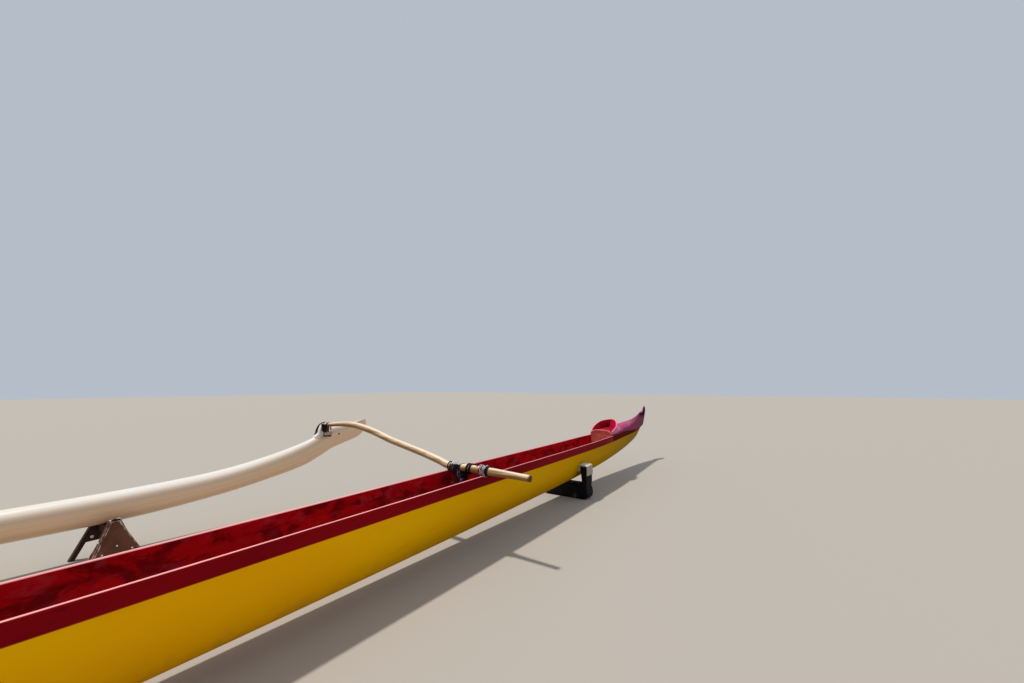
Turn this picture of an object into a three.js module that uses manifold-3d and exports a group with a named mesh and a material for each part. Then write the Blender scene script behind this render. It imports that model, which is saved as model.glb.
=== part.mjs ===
// A six-seat outrigger canoe ashore: a narrow open hull with raised gunwales and horned
// end pieces, two booms lashed across it, and a float at their port ends. The hull stands on
// two cradles and the float on a low trestle.
// Millimetres. +X points to the bow, +Y to port where the float is, +Z up, ground at z = 0.
import * as THREE from "three";
import { mergeVertices } from "three/addons/utils/BufferGeometryUtils.js";
import Module from "manifold-3d";

const wasm = await Module();
wasm.setup();

// Driving dimensions.
const GAP = 0.3; // between pieces that touch
const COCKPIT_HALF = 4450; // the open length runs this far each way from midships
const HULL_WALL = 12;
const GUNWALE_HEIGHT = 85;
const GUNWALE_THICKNESS = 20;
const GUNWALE_EDGE = { drop: 8, inset: 5 }; // its chamfered top edges
const CAVITY_HALF = 6050; // the hull is hollow this far under the end pieces
const HALF_ROOM = 260; // more than half the hull's width, for pieces trimmed to its inside
const BULKHEAD_THICKNESS = 18;
const BULKHEAD_MARGIN = 4; // from its arch to the cover's line and the gunwales

const SEAT_PITCH = 960;
const SEAT_LENGTH = 210;
const SEAT_THICKNESS = 22;
const SEAT_DROP = 185; // top of a seat below the gunwale
const SEAT_COUNT = 6;

const BOOM_RADIUS = 36;
const BOOM_TIPS = { starboard: { radius: 30, length: 360 }, port: { radius: 26, length: 620 } };
const BOOM_X = { front: 1409, rear: -1470 };
const BOOM_OVERHANG = 660; // starboard end, from the centreline
const BOOM_FLOAT_END = 2390; // port end, from the centreline
const BOOM_SEAT = 1.5; // depth of the flats that the booms rest on
const SPREADER_DEPTH = 34;
const SPREADER_LENGTH = 64;
const SPREADER_DROP = 100; // top of the spreader below the gunwale
const LASHING_THICKNESS = 13;
const LASHING_WIDTH = 62;
const LASHING_Y = { port: 150, starboard: -158 };

const FLOAT_Y = 2280;
const NOTCH = { aft: 1382, fore: 1476, floor: 822 }; // cut in the float's crest for the front boom
const CHOCK_WIDTH = 84;
const CHOCKS = { front: { aft: 1384, fore: 1434 }, rear: { aft: -1496, fore: -1444 } };
// Where a strap crosses the float, its width, and how far its legs go down past the boom.
const FLOAT_LASHINGS = {
  front: { y: FLOAT_Y - 50, width: 30, reach: 118 },
  rear: { y: FLOAT_Y, width: 62, reach: 75 },
};

const GUARD_HALF_THICKNESS = 9; // level, square to the wing

const CRADLE_X = { bow: 3330, stern: -3330 };
const CRADLE_LENGTH = 180;
const CRADLE_ARM_REACH = 186; // top of the arms above the keel
const PAD_THICKNESS = 26;
const PAD_DEPTH = 60; // how far it hangs down between the arm and the hull
const PAD_SETBACK = 6; // from the cradle's ends
const PAD_Y = [150, 296]; // from the turn of the hull nearly to the outside of the arm

const TRESTLE_X = -446;
const TRESTLE_Y = FLOAT_Y - 88;
const TRESTLE_TURN = 6.4; // degrees, port end aft
const TRESTLE_FRAMES = { near: -149, far: 149 }; // end frames, from the trestle's middle
const TRESTLE_BEAM = 60;
const TRESTLE_SADDLE = 6; // depth of the hollow that the float lies in
const TRESTLE_BOARD = 38;
const GUSSET_THICKNESS = 12;

// Outlines of a frame's fore leg and of its gusset, from the frame's middle: x, z. The far
// frame stands under the float and is cut off below it.
const LEGS = {
  near: [[24, 322], [172, 0], [140, 0], [GAP / 2, 304], [GAP / 2, 322]],
  far: [[57, 250], [172, 0], [140, 0], [25, 250]],
};
const GUSSETS = {
  near: [[-20, 314], [20, 314], [135, 62], [-135, 62]],
  far: [[-50, 246], [50, 246], [106, 125], [-106, 125]],
};

// A cradle's port half below its arm, from the ground up: y, z. Then the inside of its arm.
const CRADLE_OUTLINE = [[240, 0], [292, 14], [308, 58], [300, 112], [286, 150], [296, 190]];
const CRADLE_ARM = [298, 212]; // outer and inner face, from the centreline
const CRADLE_TROUGH = [[232, 200], [150, 172]];

// Hull stations: half-beam, gunwale height, keel height, and how full the section is.
const STATIONS = [
  { x: -6300, beam: 14, sheer: 676, keel: 574, fullness: 1.8 },
  { x: -6060, beam: 50, sheer: 658, keel: 462, fullness: 1.85 },
  { x: -5770, beam: 86, sheer: 648, keel: 385, fullness: 1.95 },
  { x: -5120, beam: 138, sheer: 640, keel: 268, fullness: 2.15 },
  { x: -4200, beam: 192, sheer: 630, keel: 168, fullness: 2.4 },
  { x: -3100, beam: 210, sheer: 614, keel: 124, fullness: 2.55 },
  { x: -1550, beam: 219, sheer: 596, keel: 110, fullness: 2.6 },
  { x: 0, beam: 222, sheer: 600, keel: 121, fullness: 2.6 },
  { x: 1550, beam: 220, sheer: 612, keel: 150, fullness: 2.6 },
  { x: 3100, beam: 213, sheer: 617, keel: 192, fullness: 2.55 },
  { x: 4200, beam: 198, sheer: 627, keel: 236, fullness: 2.4 },
  { x: 5120, beam: 138, sheer: 640, keel: 306, fullness: 2.15 },
  { x: 5770, beam: 86, sheer: 648, keel: 396, fullness: 1.95 },
  { x: 6060, beam: 50, sheer: 658, keel: 464, fullness: 1.85 },
  { x: 6300, beam: 14, sheer: 676, keel: 574, fullness: 1.8 },
];

// The ridge of the end pieces above the hull: its height, how far it leans outwards, and how
// square the section under it is.
const RIDGE = [
  { x: 4450, head: 706, lean: 0, crown: 3.4 },
  { x: 4720, head: 718, lean: 20, crown: 3.1 },
  { x: 5120, head: 738, lean: 50, crown: 2.7 },
  { x: 5480, head: 752, lean: 80, crown: 2.6 },
  { x: 5770, head: 768, lean: 90, crown: 2.6 },
  { x: 6000, head: 804, lean: 90, crown: 2.5 },
  { x: 6170, head: 843, lean: 75, crown: 2.4 },
  { x: 6300, head: 882, lean: 70, crown: 2.3 },
];

// Past the hull each end piece is a horn: the foot runs up its front edge.
const HORN_RINGS = [
  { footX: 6420, foot: 640, headX: 6448, head: 912, width: 22, crown: 2.2 },
  { footX: 6510, foot: 740, headX: 6470, head: 948, width: 21, crown: 2.2 },
  { footX: 6580, foot: 840, headX: 6500, head: 970, width: 20, crown: 2.2 },
  { footX: 6618, foot: 905, headX: 6545, head: 978, width: 17, crown: 2.2 },
  { footX: 6630, foot: 945, headX: 6596, head: 975, width: 9, crown: 2.2 },
];

// The port wing of a splash guard, from its aft end to the point of the V: its foot inside the
// cover, and its rim, which leans outwards.
const GUARD_SECTIONS = [
  { footX: 4474, footY: 138, foot: 658, rimX: 4462, rimY: 166, rim: 678 },
  { footX: 4481, footY: 131, foot: 666, rimX: 4500, rimY: 173, rim: 704 },
  { footX: 4519, footY: 104, foot: 679, rimX: 4552, rimY: 178, rim: 724 },
  { footX: 4579, footY: 72, foot: 686, rimX: 4620, rimY: 174, rim: 752 },
  { footX: 4654, footY: 46, foot: 693, rimX: 4700, rimY: 147, rim: 793 },
  { footX: 4723, footY: 20, foot: 697, rimX: 4770, rimY: 110, rim: 817 },
  { footX: 4763, footY: 5, foot: 701, rimX: 4850, rimY: 58, rim: 829 },
  { footX: 4780, footY: -1, foot: 703, rimX: 4922, rimY: -1, rim: 832 },
];

// Float rings: top, bottom and half-width.
const FLOAT_RINGS = [
  { x: -3600, top: 470, bottom: 452, width: 8 },
  { x: -3540, top: 486, bottom: 406, width: 34 },
  { x: -3300, top: 491, bottom: 341, width: 66 },
  { x: -2700, top: 488, bottom: 277, width: 98 },
  { x: -1900, top: 485, bottom: 254, width: 113 },
  { x: -1000, top: 485, bottom: 250, width: 116 },
  { x: -300, top: 499, bottom: 256, width: 115 },
  { x: 300, top: 536, bottom: 304, width: 111 },
  { x: 750, top: 611, bottom: 372, width: 103 },
  { x: 1150, top: 716, bottom: 456, width: 86 },
  { x: 1350, top: 798, bottom: 540, width: 70 },
  { x: 1480, top: 862, bottom: 604, width: 58 },
  { x: 1650, top: 872, bottom: 656, width: 43 },
  { x: 1800, top: 905, bottom: 697, width: 31 },
  { x: 1900, top: 926, bottom: 748, width: 21 },
  { x: 1950, top: 930, bottom: 810, width: 12 },
];

// The stop that stands on the float behind the front boom, from its foot in the float up.
const STOP_RINGS = [
  { z: 700, aft: 1262, fore: 1380, width: 38 },
  { z: 765, aft: 1262, fore: 1380, width: 38 },
  { z: 803, aft: 1303, fore: 1380, width: 37 },
  { z: 845, aft: 1316, fore: 1380, width: 34 },
  { z: 891, aft: 1337, fore: 1380, width: 27 },
  { z: 902, aft: 1350, fore: 1375, width: 20 },
];
const STOP_CORNER = 9; // the chamfer of its upright corners

// Boom centrelines across the canoe: y, and height above the gunwale they rest on.
const BOOM_LINES = {
  front: [[-BOOM_OVERHANG, -6], [-360, 0], [-60, 0], [215, 0], [338, 30], [506, 66], [683, 99],
    [871, 132], [1069, 168], [1280, 216], [1503, 258], [1700, 280], [1880, 281], [2050, 271],
    [2200, 256], [BOOM_FLOAT_END, 240]],
  rear: [[-BOOM_OVERHANG, -2], [-360, 0], [-60, 0], [215, 0], [338, 22], [612, 78], [913, 138],
    [1240, 176], [1562, 168], [1890, 88], [2120, -22], [FLOAT_Y, -84], [BOOM_FLOAT_END, -104]],
};

const FINISHES = {
  hull_yellow: { color: 0xb8880a, roughness: 0.35 },
  gunwale_red: { color: 0x8c0a18, roughness: 0.35 },
  deck_red: { color: 0xa01428, roughness: 0.2 },
  bulkhead_salmon: { color: 0xb85a48, roughness: 0.5 },
  seat_red: { color: 0x7c1c1c, roughness: 0.5 },
  boom_wood: { color: 0xd8b48c, roughness: 0.35 },
  lashing_black: { color: 0x1c1c1e, roughness: 0.85 },
  float_white: { color: 0xf2efe6, roughness: 0.25 },
  chock_brown: { color: 0x6a3226, roughness: 0.6 },
  trestle_brown: { color: 0x4b2d23, roughness: 0.6 },
  cradle_black: { color: 0x18171a, roughness: 0.7 },
  pad_white: { color: 0xe4ded0, roughness: 0.9 },
};

// Solids.

function solidOf(geometry) {
  const bare = geometry.clone();
  bare.deleteAttribute("normal");
  bare.deleteAttribute("uv");
  const merged = mergeVertices(bare, 1e-3);
  return new wasm.Manifold(
    new wasm.Mesh({
      numProp: 3,
      vertProperties: merged.attributes.position.array,
      triVerts: new Uint32Array(merged.index.array),
    }),
  );
}

function geometryOf(solid) {
  const mesh = solid.getMesh();
  const geometry = new THREE.BufferGeometry()
    .setAttribute("position", new THREE.BufferAttribute(mesh.vertProperties, 3))
    .setIndex(new THREE.BufferAttribute(mesh.triVerts, 1));
  const faceted = geometry.toNonIndexed();
  faceted.computeVertexNormals();
  return faceted;
}

// A closed body through rings of points with flat, convex ends. The rings follow each other
// along +X, and each is listed counterclockwise as seen looking along +X.
function loft(rings) {
  const count = rings[0].length;
  const positions = rings.flat().flatMap((p) => [p.x, p.y, p.z]);
  const index = [];
  for (let r = 0; r + 1 < rings.length; r++) {
    for (let i = 0; i < count; i++) {
      const a = r * count + i;
      const b = r * count + ((i + 1) % count);
      index.push(a, b + count, b, a, a + count, b + count);
    }
  }
  const last = (rings.length - 1) * count;
  for (let i = 1; i + 1 < count; i++) {
    index.push(0, i, i + 1, last, last + i + 1, last + i);
  }
  const geometry = new THREE.BufferGeometry()
    .setAttribute("position", new THREE.Float32BufferAttribute(positions, 3))
    .setIndex(index);
  return solidOf(geometry);
}

// A flat outline in the y-z plane, made thick from x0 to x1.
function plateAlongX(outline, x0, x1) {
  const shape = new THREE.Shape(outline.map(([y, z]) => new THREE.Vector2(y, z)));
  const geometry = new THREE.ExtrudeGeometry(shape, { depth: x1 - x0, bevelEnabled: false });
  geometry.applyMatrix4(new THREE.Matrix4().set(0, 0, 1, x0, 1, 0, 0, 0, 0, 1, 0, 0, 0, 0, 0, 1));
  return solidOf(geometry);
}

// A flat shape in the x-z plane, made thick about y.
function plateAlongY(shape, y, thickness) {
  const geometry = new THREE.ExtrudeGeometry(shape, {
    depth: thickness,
    bevelEnabled: false,
    curveSegments: 8,
  });
  geometry.rotateX(Math.PI / 2);
  geometry.translate(0, y + thickness / 2, 0);
  return solidOf(geometry);
}

function outlineShape(points) {
  return new THREE.Shape(points.map(([x, z]) => new THREE.Vector2(x, z)));
}

function block(x0, x1, y0, y1, z0, z1) {
  const geometry = new THREE.BoxGeometry(x1 - x0, y1 - y0, z1 - z0);
  geometry.translate((x0 + x1) / 2, (y0 + y1) / 2, (z0 + z1) / 2);
  return solidOf(geometry);
}

// Hull form.

// A column of a table at x, on a smooth curve through its rows.
function smoothAt(table, column, x) {
  const last = table.length - 1;
  const clamped = Math.min(Math.max(x, table[0].x), table[last].x);
  let i = 0;
  while (i < last - 1 && clamped > table[i + 1].x) i++;
  const slope = (k) => {
    const before = table[Math.max(k - 1, 0)];
    const after = table[Math.min(k + 1, last)];
    return (after[column] - before[column]) / (after.x - before.x);
  };
  const span = table[i + 1].x - table[i].x;
  const t = (clamped - table[i].x) / span;
  return (
    (2 * t ** 3 - 3 * t ** 2 + 1) * table[i][column] +
    (t ** 3 - 2 * t ** 2 + t) * span * slope(i) +
    (3 * t ** 2 - 2 * t ** 3) * table[i + 1][column] +
    (t ** 3 - t ** 2) * span * slope(i + 1)
  );
}

const gunwaleHeight = (x) => smoothAt(STATIONS, "sheer", x);

// The hull's curve at x from port to starboard, below the level that lies `drop` under the
// gunwale, moved `inset` inwards.
function hullCurve(x, drop, inset, steps = 16) {
  const beam = Math.max(smoothAt(STATIONS, "beam", x) - inset, 1);
  const sheer = gunwaleHeight(x);
  const depth = sheer - smoothAt(STATIONS, "keel", x) - inset;
  const power = 2 / smoothAt(STATIONS, "fullness", x);
  const start = Math.asin(Math.min(drop / depth, 1) ** (1 / power));
  return Array.from({ length: steps + 1 }, (_, i) => {
    const angle = start + (i / steps) * (Math.PI - 2 * start);
    const across = Math.cos(angle);
    return new THREE.Vector3(
      x,
      Math.sign(across) * beam * Math.abs(across) ** power,
      sheer - depth * Math.abs(Math.sin(angle)) ** power,
    );
  });
}

const evenly = (x0, x1, steps) =>
  Array.from({ length: steps + 1 }, (_, i) => x0 + (i / steps) * (x1 - x0));

// The places along X where the hull's facets meet, shared by the pieces that lie on it.
const COVER_FRAMES = evenly(COCKPIT_HALF, STATIONS.at(-1).x, 8);
const COCKPIT_FRAMES = evenly(-COCKPIT_HALF, COCKPIT_HALF, 20);
const HULL_FRAMES = [
  ...COVER_FRAMES.slice(1).map((x) => -x).reverse(),
  ...COCKPIT_FRAMES,
  ...COVER_FRAMES.slice(1),
];

// The hull's whole body up to the foot of the gunwale.
function hullBody() {
  return loft(HULL_FRAMES.map((x) => hullCurve(x, GUNWALE_HEIGHT, 0)));
}

// The space inside the hull, open at the top and moved `inset` inwards.
function hullSpace(inset, half) {
  const headroom = 300;
  const inner = HULL_FRAMES.filter((x) => Math.abs(x) < half);
  return loft(
    [-half, ...inner, half].map((x) => {
      const curve = hullCurve(x, 0, inset);
      const port = curve[0].clone();
      const starboard = curve.at(-1).clone();
      port.z += headroom;
      starboard.z += headroom;
      return [port, ...curve, starboard];
    }),
  );
}

function gunwale(side) {
  const rings = COCKPIT_FRAMES.map((x) => {
    const sheer = gunwaleHeight(x);
    const foot = hullCurve(x, GUNWALE_HEIGHT, 0)[0];
    const outer = smoothAt(STATIONS, "beam", x);
    const inner = outer - GUNWALE_THICKNESS;
    const corners = [
      [foot.y, foot.z + GAP],
      [outer, sheer - GUNWALE_EDGE.drop],
      [outer - GUNWALE_EDGE.inset, sheer],
      [inner + GUNWALE_EDGE.inset, sheer],
      [inner, sheer - GUNWALE_EDGE.drop],
      [foot.y - GUNWALE_THICKNESS, foot.z + GAP],
    ].map(([y, z]) => new THREE.Vector3(x, side * y, z));
    return side > 0 ? corners.reverse() : corners;
  });
  return loft(rings);
}

// A deck-like cap that rises into a horn. It is made for the bow and mirrored for the stern.
function endPiece(end) {
  const steps = 7;
  const onHull = COVER_FRAMES.map((x) => {
    const edge = hullCurve(end * x, GUNWALE_HEIGHT, 0)[0];
    return {
      footX: x,
      foot: edge.z + GAP,
      headX: x + smoothAt(RIDGE, "lean", x),
      head: smoothAt(RIDGE, "head", x),
      width: edge.y,
      crown: smoothAt(RIDGE, "crown", x),
    };
  });
  onHull[0].footX += GAP;
  onHull[0].headX += GAP;
  const rings = [...onHull, ...HORN_RINGS].map((ring) => {
    const half = Array.from({ length: steps }, (_, i) => {
      const angle = (i / steps) * (Math.PI / 2);
      return { up: Math.sin(angle) ** (2 / ring.crown), out: Math.cos(angle) ** (2 / ring.crown) };
    });
    const point = (up, out) =>
      new THREE.Vector3(
        end * (ring.footX + up * (ring.headX - ring.footX)),
        out * ring.width,
        ring.foot + up * (ring.head - ring.foot),
      );
    const starboard = half.map(({ up, out }) => point(up, -out));
    const port = half.map(({ up, out }) => point(up, out)).reverse();
    return [...starboard, point(1, 0), ...port];
  });
  return loft(end > 0 ? rings : rings.reverse());
}

// The panel that closes the cover's cockpit end, down to the hull's bottom.
function bulkhead(end, space) {
  const near = COCKPIT_HALF - BULKHEAD_THICKNESS;
  const [x0, x1] = end > 0 ? [near, COCKPIT_HALF] : [-COCKPIT_HALF, -near];
  const { y: width, z: edge } = hullCurve(end * COCKPIT_HALF, GUNWALE_HEIGHT, 0)[0];
  const foot = edge - BULKHEAD_MARGIN;
  const beam = smoothAt(STATIONS, "beam", end * COCKPIT_HALF);
  const inner = beam - GUNWALE_THICKNESS - BULKHEAD_MARGIN;
  const { head, crown } = RIDGE[0];
  const arch = evenly(-inner, inner, 10).map((y) => {
    const rise = (1 - Math.abs(y / width) ** crown) ** (1 / crown);
    return [y, foot + (head - edge) * rise];
  });
  const above = plateAlongX([[inner, foot - 10], [-inner, foot - 10], ...arch].reverse(), x0, x1);
  return space.intersect(block(x0, x1, -beam, beam, 0, foot)).add(above);
}

// Two wings in a V on the cover that turn water away from the cockpit.
function splashGuard(end, cover) {
  const angle = Math.atan2(GUARD_SECTIONS[0].footY, GUARD_SECTIONS.at(-1).footX - GUARD_SECTIONS[0].footX);
  const port = loft(
    GUARD_SECTIONS.map(({ footX, footY, foot, rimX, rimY, rim }) => {
      const atPoint = footY < 0;
      const outX = GUARD_HALF_THICKNESS * (atPoint ? 1 / Math.sin(angle) : Math.sin(angle));
      const outY = GUARD_HALF_THICKNESS * (atPoint ? 0 : Math.cos(angle));
      return [
        new THREE.Vector3(rimX + outX, rimY + outY, rim),
        new THREE.Vector3(footX + outX, footY + outY, foot),
        new THREE.Vector3(footX - outX, footY - outY, foot),
        new THREE.Vector3(rimX - outX, rimY - outY, rim),
      ];
    }),
  );
  const guard = port.add(port.mirror([0, 1, 0]));
  return (end > 0 ? guard : guard.mirror([1, 0, 0])).subtract(cover.translate([0, 0, GAP]));
}

// Outrigger.

const boomAxis = (where) =>
  BOOM_LINES[where].map(
    ([y, rise]) =>
      new THREE.Vector3(
        BOOM_X[where],
        y,
        gunwaleHeight(BOOM_X[where]) + BOOM_RADIUS - BOOM_SEAT + rise,
      ),
  );

const boomPath = (where) => new THREE.CatmullRomCurve3(boomAxis(where), false, "centripetal");

// A boom's radius at y: full in the middle, less towards both ends.
function boomRadius(y) {
  const { starboard, port } = BOOM_TIPS;
  const inset = [[starboard, y + BOOM_OVERHANG], [port, BOOM_FLOAT_END - y]].map(
    ([{ radius, length }, distance]) =>
      (BOOM_RADIUS - radius) * (1 - Math.min(Math.max(distance, 0) / length, 1) ** 2),
  );
  return BOOM_RADIUS - Math.max(...inset);
}

// A boom's round body, `spare` larger all round.
function boomBody(where, spare) {
  const [steps, sides] = [40, 16];
  const path = boomPath(where);
  return loft(
    evenly(0, 1, steps).map((share) => {
      const centre = path.getPointAt(share);
      const ahead = path.getTangentAt(share);
      const above = new THREE.Vector3(1, 0, 0).cross(ahead);
      const radius = boomRadius(centre.y) + spare;
      return Array.from({ length: sides }, (_, i) => {
        const angle = (i / sides) * 2 * Math.PI;
        return centre
          .clone()
          .add(new THREE.Vector3(radius * Math.cos(angle), 0, 0))
          .addScaledVector(above, radius * Math.sin(angle));
      });
    }),
  );
}

// A round spar with flats where it rests on the gunwales.
const boom = (where, gunwales) => boomBody(where, 0).subtract(gunwales.translate([0, 0, GAP]));

// The height of a boom's axis at y, and its slope there in radians.
function boomAt(where, y) {
  const points = boomPath(where).getPoints(400);
  const i = points.findIndex((p) => p.y > y);
  const [a, b] = [points[i - 1], points[i]];
  return { z: a.z + ((y - a.y) / (b.y - a.y)) * (b.z - a.z), slope: Math.atan2(b.z - a.z, b.y - a.y) };
}

function spreader(where, space) {
  const x = BOOM_X[where];
  const top = gunwaleHeight(x) - SPREADER_DROP;
  const half = SPREADER_LENGTH / 2;
  const bar = block(x - half, x + half, -HALF_ROOM, HALF_ROOM, top - SPREADER_DEPTH, top);
  return space.intersect(bar);
}

// The room that a boom takes, with its gap to what is bound round it.
const boomSleeve = (where) => boomBody(where, GAP);

// A loop of cord round a boom and the spreader under it.
function hullLashing(where, y) {
  const x = BOOM_X[where];
  const axis = boomAt(where, y).z;
  const low = gunwaleHeight(x) - SPREADER_DROP - SPREADER_DEPTH;
  const loop = (spare) => {
    const radius = BOOM_RADIUS + spare;
    const bottom = low - spare;
    const shape = new THREE.Shape();
    shape.moveTo(x + radius, bottom);
    shape.lineTo(x + radius, axis);
    shape.absarc(x, axis, radius, 0, Math.PI);
    shape.lineTo(x - radius, bottom);
    return shape;
  };
  const shape = loop(GAP + LASHING_THICKNESS);
  shape.holes.push(loop(GAP));
  return plateAlongY(shape, y, LASHING_WIDTH).subtract(boomSleeve(where));
}

function float() {
  const sides = 20;
  const body = loft(
    FLOAT_RINGS.map(({ x, top, bottom, width }) =>
      Array.from({ length: sides }, (_, i) => {
        const angle = (-i / sides) * 2 * Math.PI;
        return new THREE.Vector3(
          x,
          FLOAT_Y + width * Math.cos(angle),
          (top + bottom) / 2 + ((top - bottom) / 2) * Math.sin(angle),
        );
      }),
    ),
  );
  const stop = loft(
    STOP_RINGS.map(({ z, aft, fore, width }) => {
      const [x0, x1, w] = [aft + STOP_CORNER, fore - STOP_CORNER, width - STOP_CORNER];
      const outline = [[x1, width], [fore, w], [fore, -w], [x1, -width]];
      outline.push([x0, -width], [aft, -w], [aft, w], [x0, width]);
      return outline.map(([x, y]) => new THREE.Vector3(x, FLOAT_Y + y, z));
    }),
  );
  const { aft, fore, floor } = NOTCH;
  return body.add(stop).subtract(block(aft, fore, FLOAT_Y - 80, FLOAT_Y + 80, floor, floor + 100));
}

const largestOf = (solid) =>
  solid.decompose().reduce((best, piece) => (piece.volume() > best.volume() ? piece : best));

// The block that the boom rests on, shaped to the boom above and the float below.
function floatChock(where, boomSolid, floatSolid) {
  const { aft, fore } = CHOCKS[where];
  const top = boomAt(where, FLOAT_Y).z - boomRadius(FLOAT_Y) / 2;
  const width = CHOCK_WIDTH / 2;
  const blank = block(aft, fore, FLOAT_Y - width, FLOAT_Y + width, top - 110, top);
  return largestOf(
    blank.subtract(boomSolid.translate([0, 0, -GAP])).subtract(floatSolid.translate([0, 0, GAP])),
  );
}

// A strap over the boom with a leg down to the float before and behind it.
function floatLashing(where, floatSolid) {
  const { y, width, reach } = FLOAT_LASHINGS[where];
  const { z, slope } = boomAt(where, y);
  const inside = boomRadius(y) + GAP;
  const outside = inside + LASHING_THICKNESS;
  const foot = -inside - reach;
  const shape = new THREE.Shape();
  shape.moveTo(outside, foot);
  shape.absarc(0, 0, outside, 0, Math.PI);
  shape.lineTo(-outside, foot);
  shape.lineTo(-inside, foot);
  shape.absarc(0, 0, inside, Math.PI, 0, true);
  shape.lineTo(inside, foot);
  return plateAlongY(shape, 0, width)
    .rotate([THREE.MathUtils.radToDeg(slope), 0, 0])
    .translate([BOOM_X[where], y, z])
    .subtract(boomSleeve(where))
    .subtract(floatSolid.translate([0, 0, GAP]));
}

// Stands.

const cradleArm = (x) => smoothAt(STATIONS, "keel", x) + CRADLE_ARM_REACH;

// A trough with an arm up each side of the hull.
function cradle(x, hullSolid) {
  const tops = CRADLE_ARM.map((y) => [y, cradleArm(x)]);
  const half = [...CRADLE_OUTLINE, ...tops, ...CRADLE_TROUGH];
  const outline = [...half, ...half.map(([y, z]) => [-y, z]).reverse()];
  const body = plateAlongX(outline, x - CRADLE_LENGTH / 2, x + CRADLE_LENGTH / 2);
  return body.subtract(hullSolid.translate([0, 0, -GAP]));
}

function cradlePad(x, side, hullSolid, cradleSolid) {
  const arm = cradleArm(x);
  const half = CRADLE_LENGTH / 2 - PAD_SETBACK;
  const [y0, y1] = side > 0 ? PAD_Y : PAD_Y.map((y) => -y).reverse();
  return largestOf(
    block(x - half, x + half, y0, y1, arm - PAD_DEPTH, arm + PAD_THICKNESS)
      .subtract(cradleSolid.translate([0, 0, GAP]).add(cradleSolid.translate([0, -side * GAP, 0])))
      .subtract(hullSolid.translate([0, side * GAP, 0])),
  );
}

// The trestle is drawn about its own middle, then turned and put under the float.
const standing = (solid) =>
  solid.rotate([0, 0, TRESTLE_TURN]).translate([TRESTLE_X, TRESTLE_Y, 0]);

function trestleLeg(name, side) {
  const shape = outlineShape(LEGS[name].map(([x, z]) => [side * x, z]));
  return standing(plateAlongY(shape, TRESTLE_FRAMES[name], TRESTLE_BOARD));
}

function gusset(name) {
  const y = TRESTLE_FRAMES[name] - TRESTLE_BOARD / 2 - GAP - GUSSET_THICKNESS / 2;
  return standing(plateAlongY(outlineShape(GUSSETS[name]), y, GUSSET_THICKNESS));
}

// The beam between the frames, hollowed where the float lies on it.
function trestleBeam({ near, far }, floatSolid) {
  const half = TRESTLE_BEAM / 2;
  const top = smoothAt(FLOAT_RINGS, "bottom", TRESTLE_X) + TRESTLE_SADDLE;
  const y0 = near + TRESTLE_BOARD / 2 + GAP;
  const y1 = far - TRESTLE_BOARD / 2 - GUSSET_THICKNESS - 2 * GAP;
  const beam = standing(block(-half, half, y0, y1, top - TRESTLE_BEAM, top));
  return beam.subtract(floatSolid.translate([0, 0, -GAP]));
}

// Assembly.

const canoe = new THREE.Group();

function place(name, finish, solid) {
  const mesh = new THREE.Mesh(geometryOf(solid), new THREE.MeshStandardMaterial(FINISHES[finish]));
  mesh.name = name;
  canoe.add(mesh);
}

const hullForm = hullBody();
const fittedSpace = hullSpace(HULL_WALL + GAP, COCKPIT_HALF);
place("hull", "hull_yellow", hullForm.subtract(hullSpace(HULL_WALL, CAVITY_HALF)));
const gunwalePort = gunwale(1);
const gunwaleStarboard = gunwale(-1);
place("gunwale_port", "gunwale_red", gunwalePort);
place("gunwale_starboard", "gunwale_red", gunwaleStarboard);

for (const [name, end] of [["bow", 1], ["stern", -1]]) {
  const cover = endPiece(end);
  place(`${name}_end_piece`, "deck_red", cover);
  place(`${name}_bulkhead`, "bulkhead_salmon", bulkhead(end, fittedSpace));
  place(`${name}_splash_guard`, "gunwale_red", splashGuard(end, cover));
}

for (let n = 1; n <= SEAT_COUNT; n++) {
  const x = BOOM_X.front + (1.5 - n) * SEAT_PITCH;
  const top = gunwaleHeight(x) - SEAT_DROP;
  const half = SEAT_LENGTH / 2;
  const board = block(x - half, x + half, -HALF_ROOM, HALF_ROOM, top - SEAT_THICKNESS, top);
  place(`seat_${n}`, "seat_red", fittedSpace.intersect(board));
}

const floatSolid = float();
place("float", "float_white", floatSolid);

for (const where of ["front", "rear"]) {
  const spar = boom(where, gunwalePort.add(gunwaleStarboard));
  place(`boom_${where}`, "boom_wood", spar);
  place(`spreader_${where}`, "boom_wood", spreader(where, fittedSpace));
  for (const [side, y] of Object.entries(LASHING_Y)) {
    place(`hull_lashing_${where}_${side}`, "lashing_black", hullLashing(where, y));
  }
  place(`float_chock_${where}`, "chock_brown", floatChock(where, spar, floatSolid));
  place(`float_lashing_${where}`, "lashing_black", floatLashing(where, floatSolid));
}

for (const [name, x] of Object.entries(CRADLE_X)) {
  const body = cradle(x, hullForm);
  place(`${name}_cradle`, "cradle_black", body);
  place(`${name}_cradle_pad_port`, "pad_white", cradlePad(x, 1, hullForm, body));
  place(`${name}_cradle_pad_starboard`, "pad_white", cradlePad(x, -1, hullForm, body));
}

for (const name of Object.keys(TRESTLE_FRAMES)) {
  place(`trestle_leg_${name}_aft`, "trestle_brown", trestleLeg(name, -1));
  place(`trestle_leg_${name}_fore`, "trestle_brown", trestleLeg(name, 1));
  place(`trestle_gusset_${name}`, "trestle_brown", gusset(name));
}
place("trestle_beam", "trestle_brown", trestleBeam(TRESTLE_FRAMES, floatSolid));

// The origin stands on the ground under the middle of the whole width.
const portEdge = FLOAT_Y + Math.max(...FLOAT_RINGS.map(({ width }) => width));
canoe.position.y = (BOOM_OVERHANG - portEdge) / 2;

const part = new THREE.Group();
part.add(canoe);
export default part;
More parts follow.
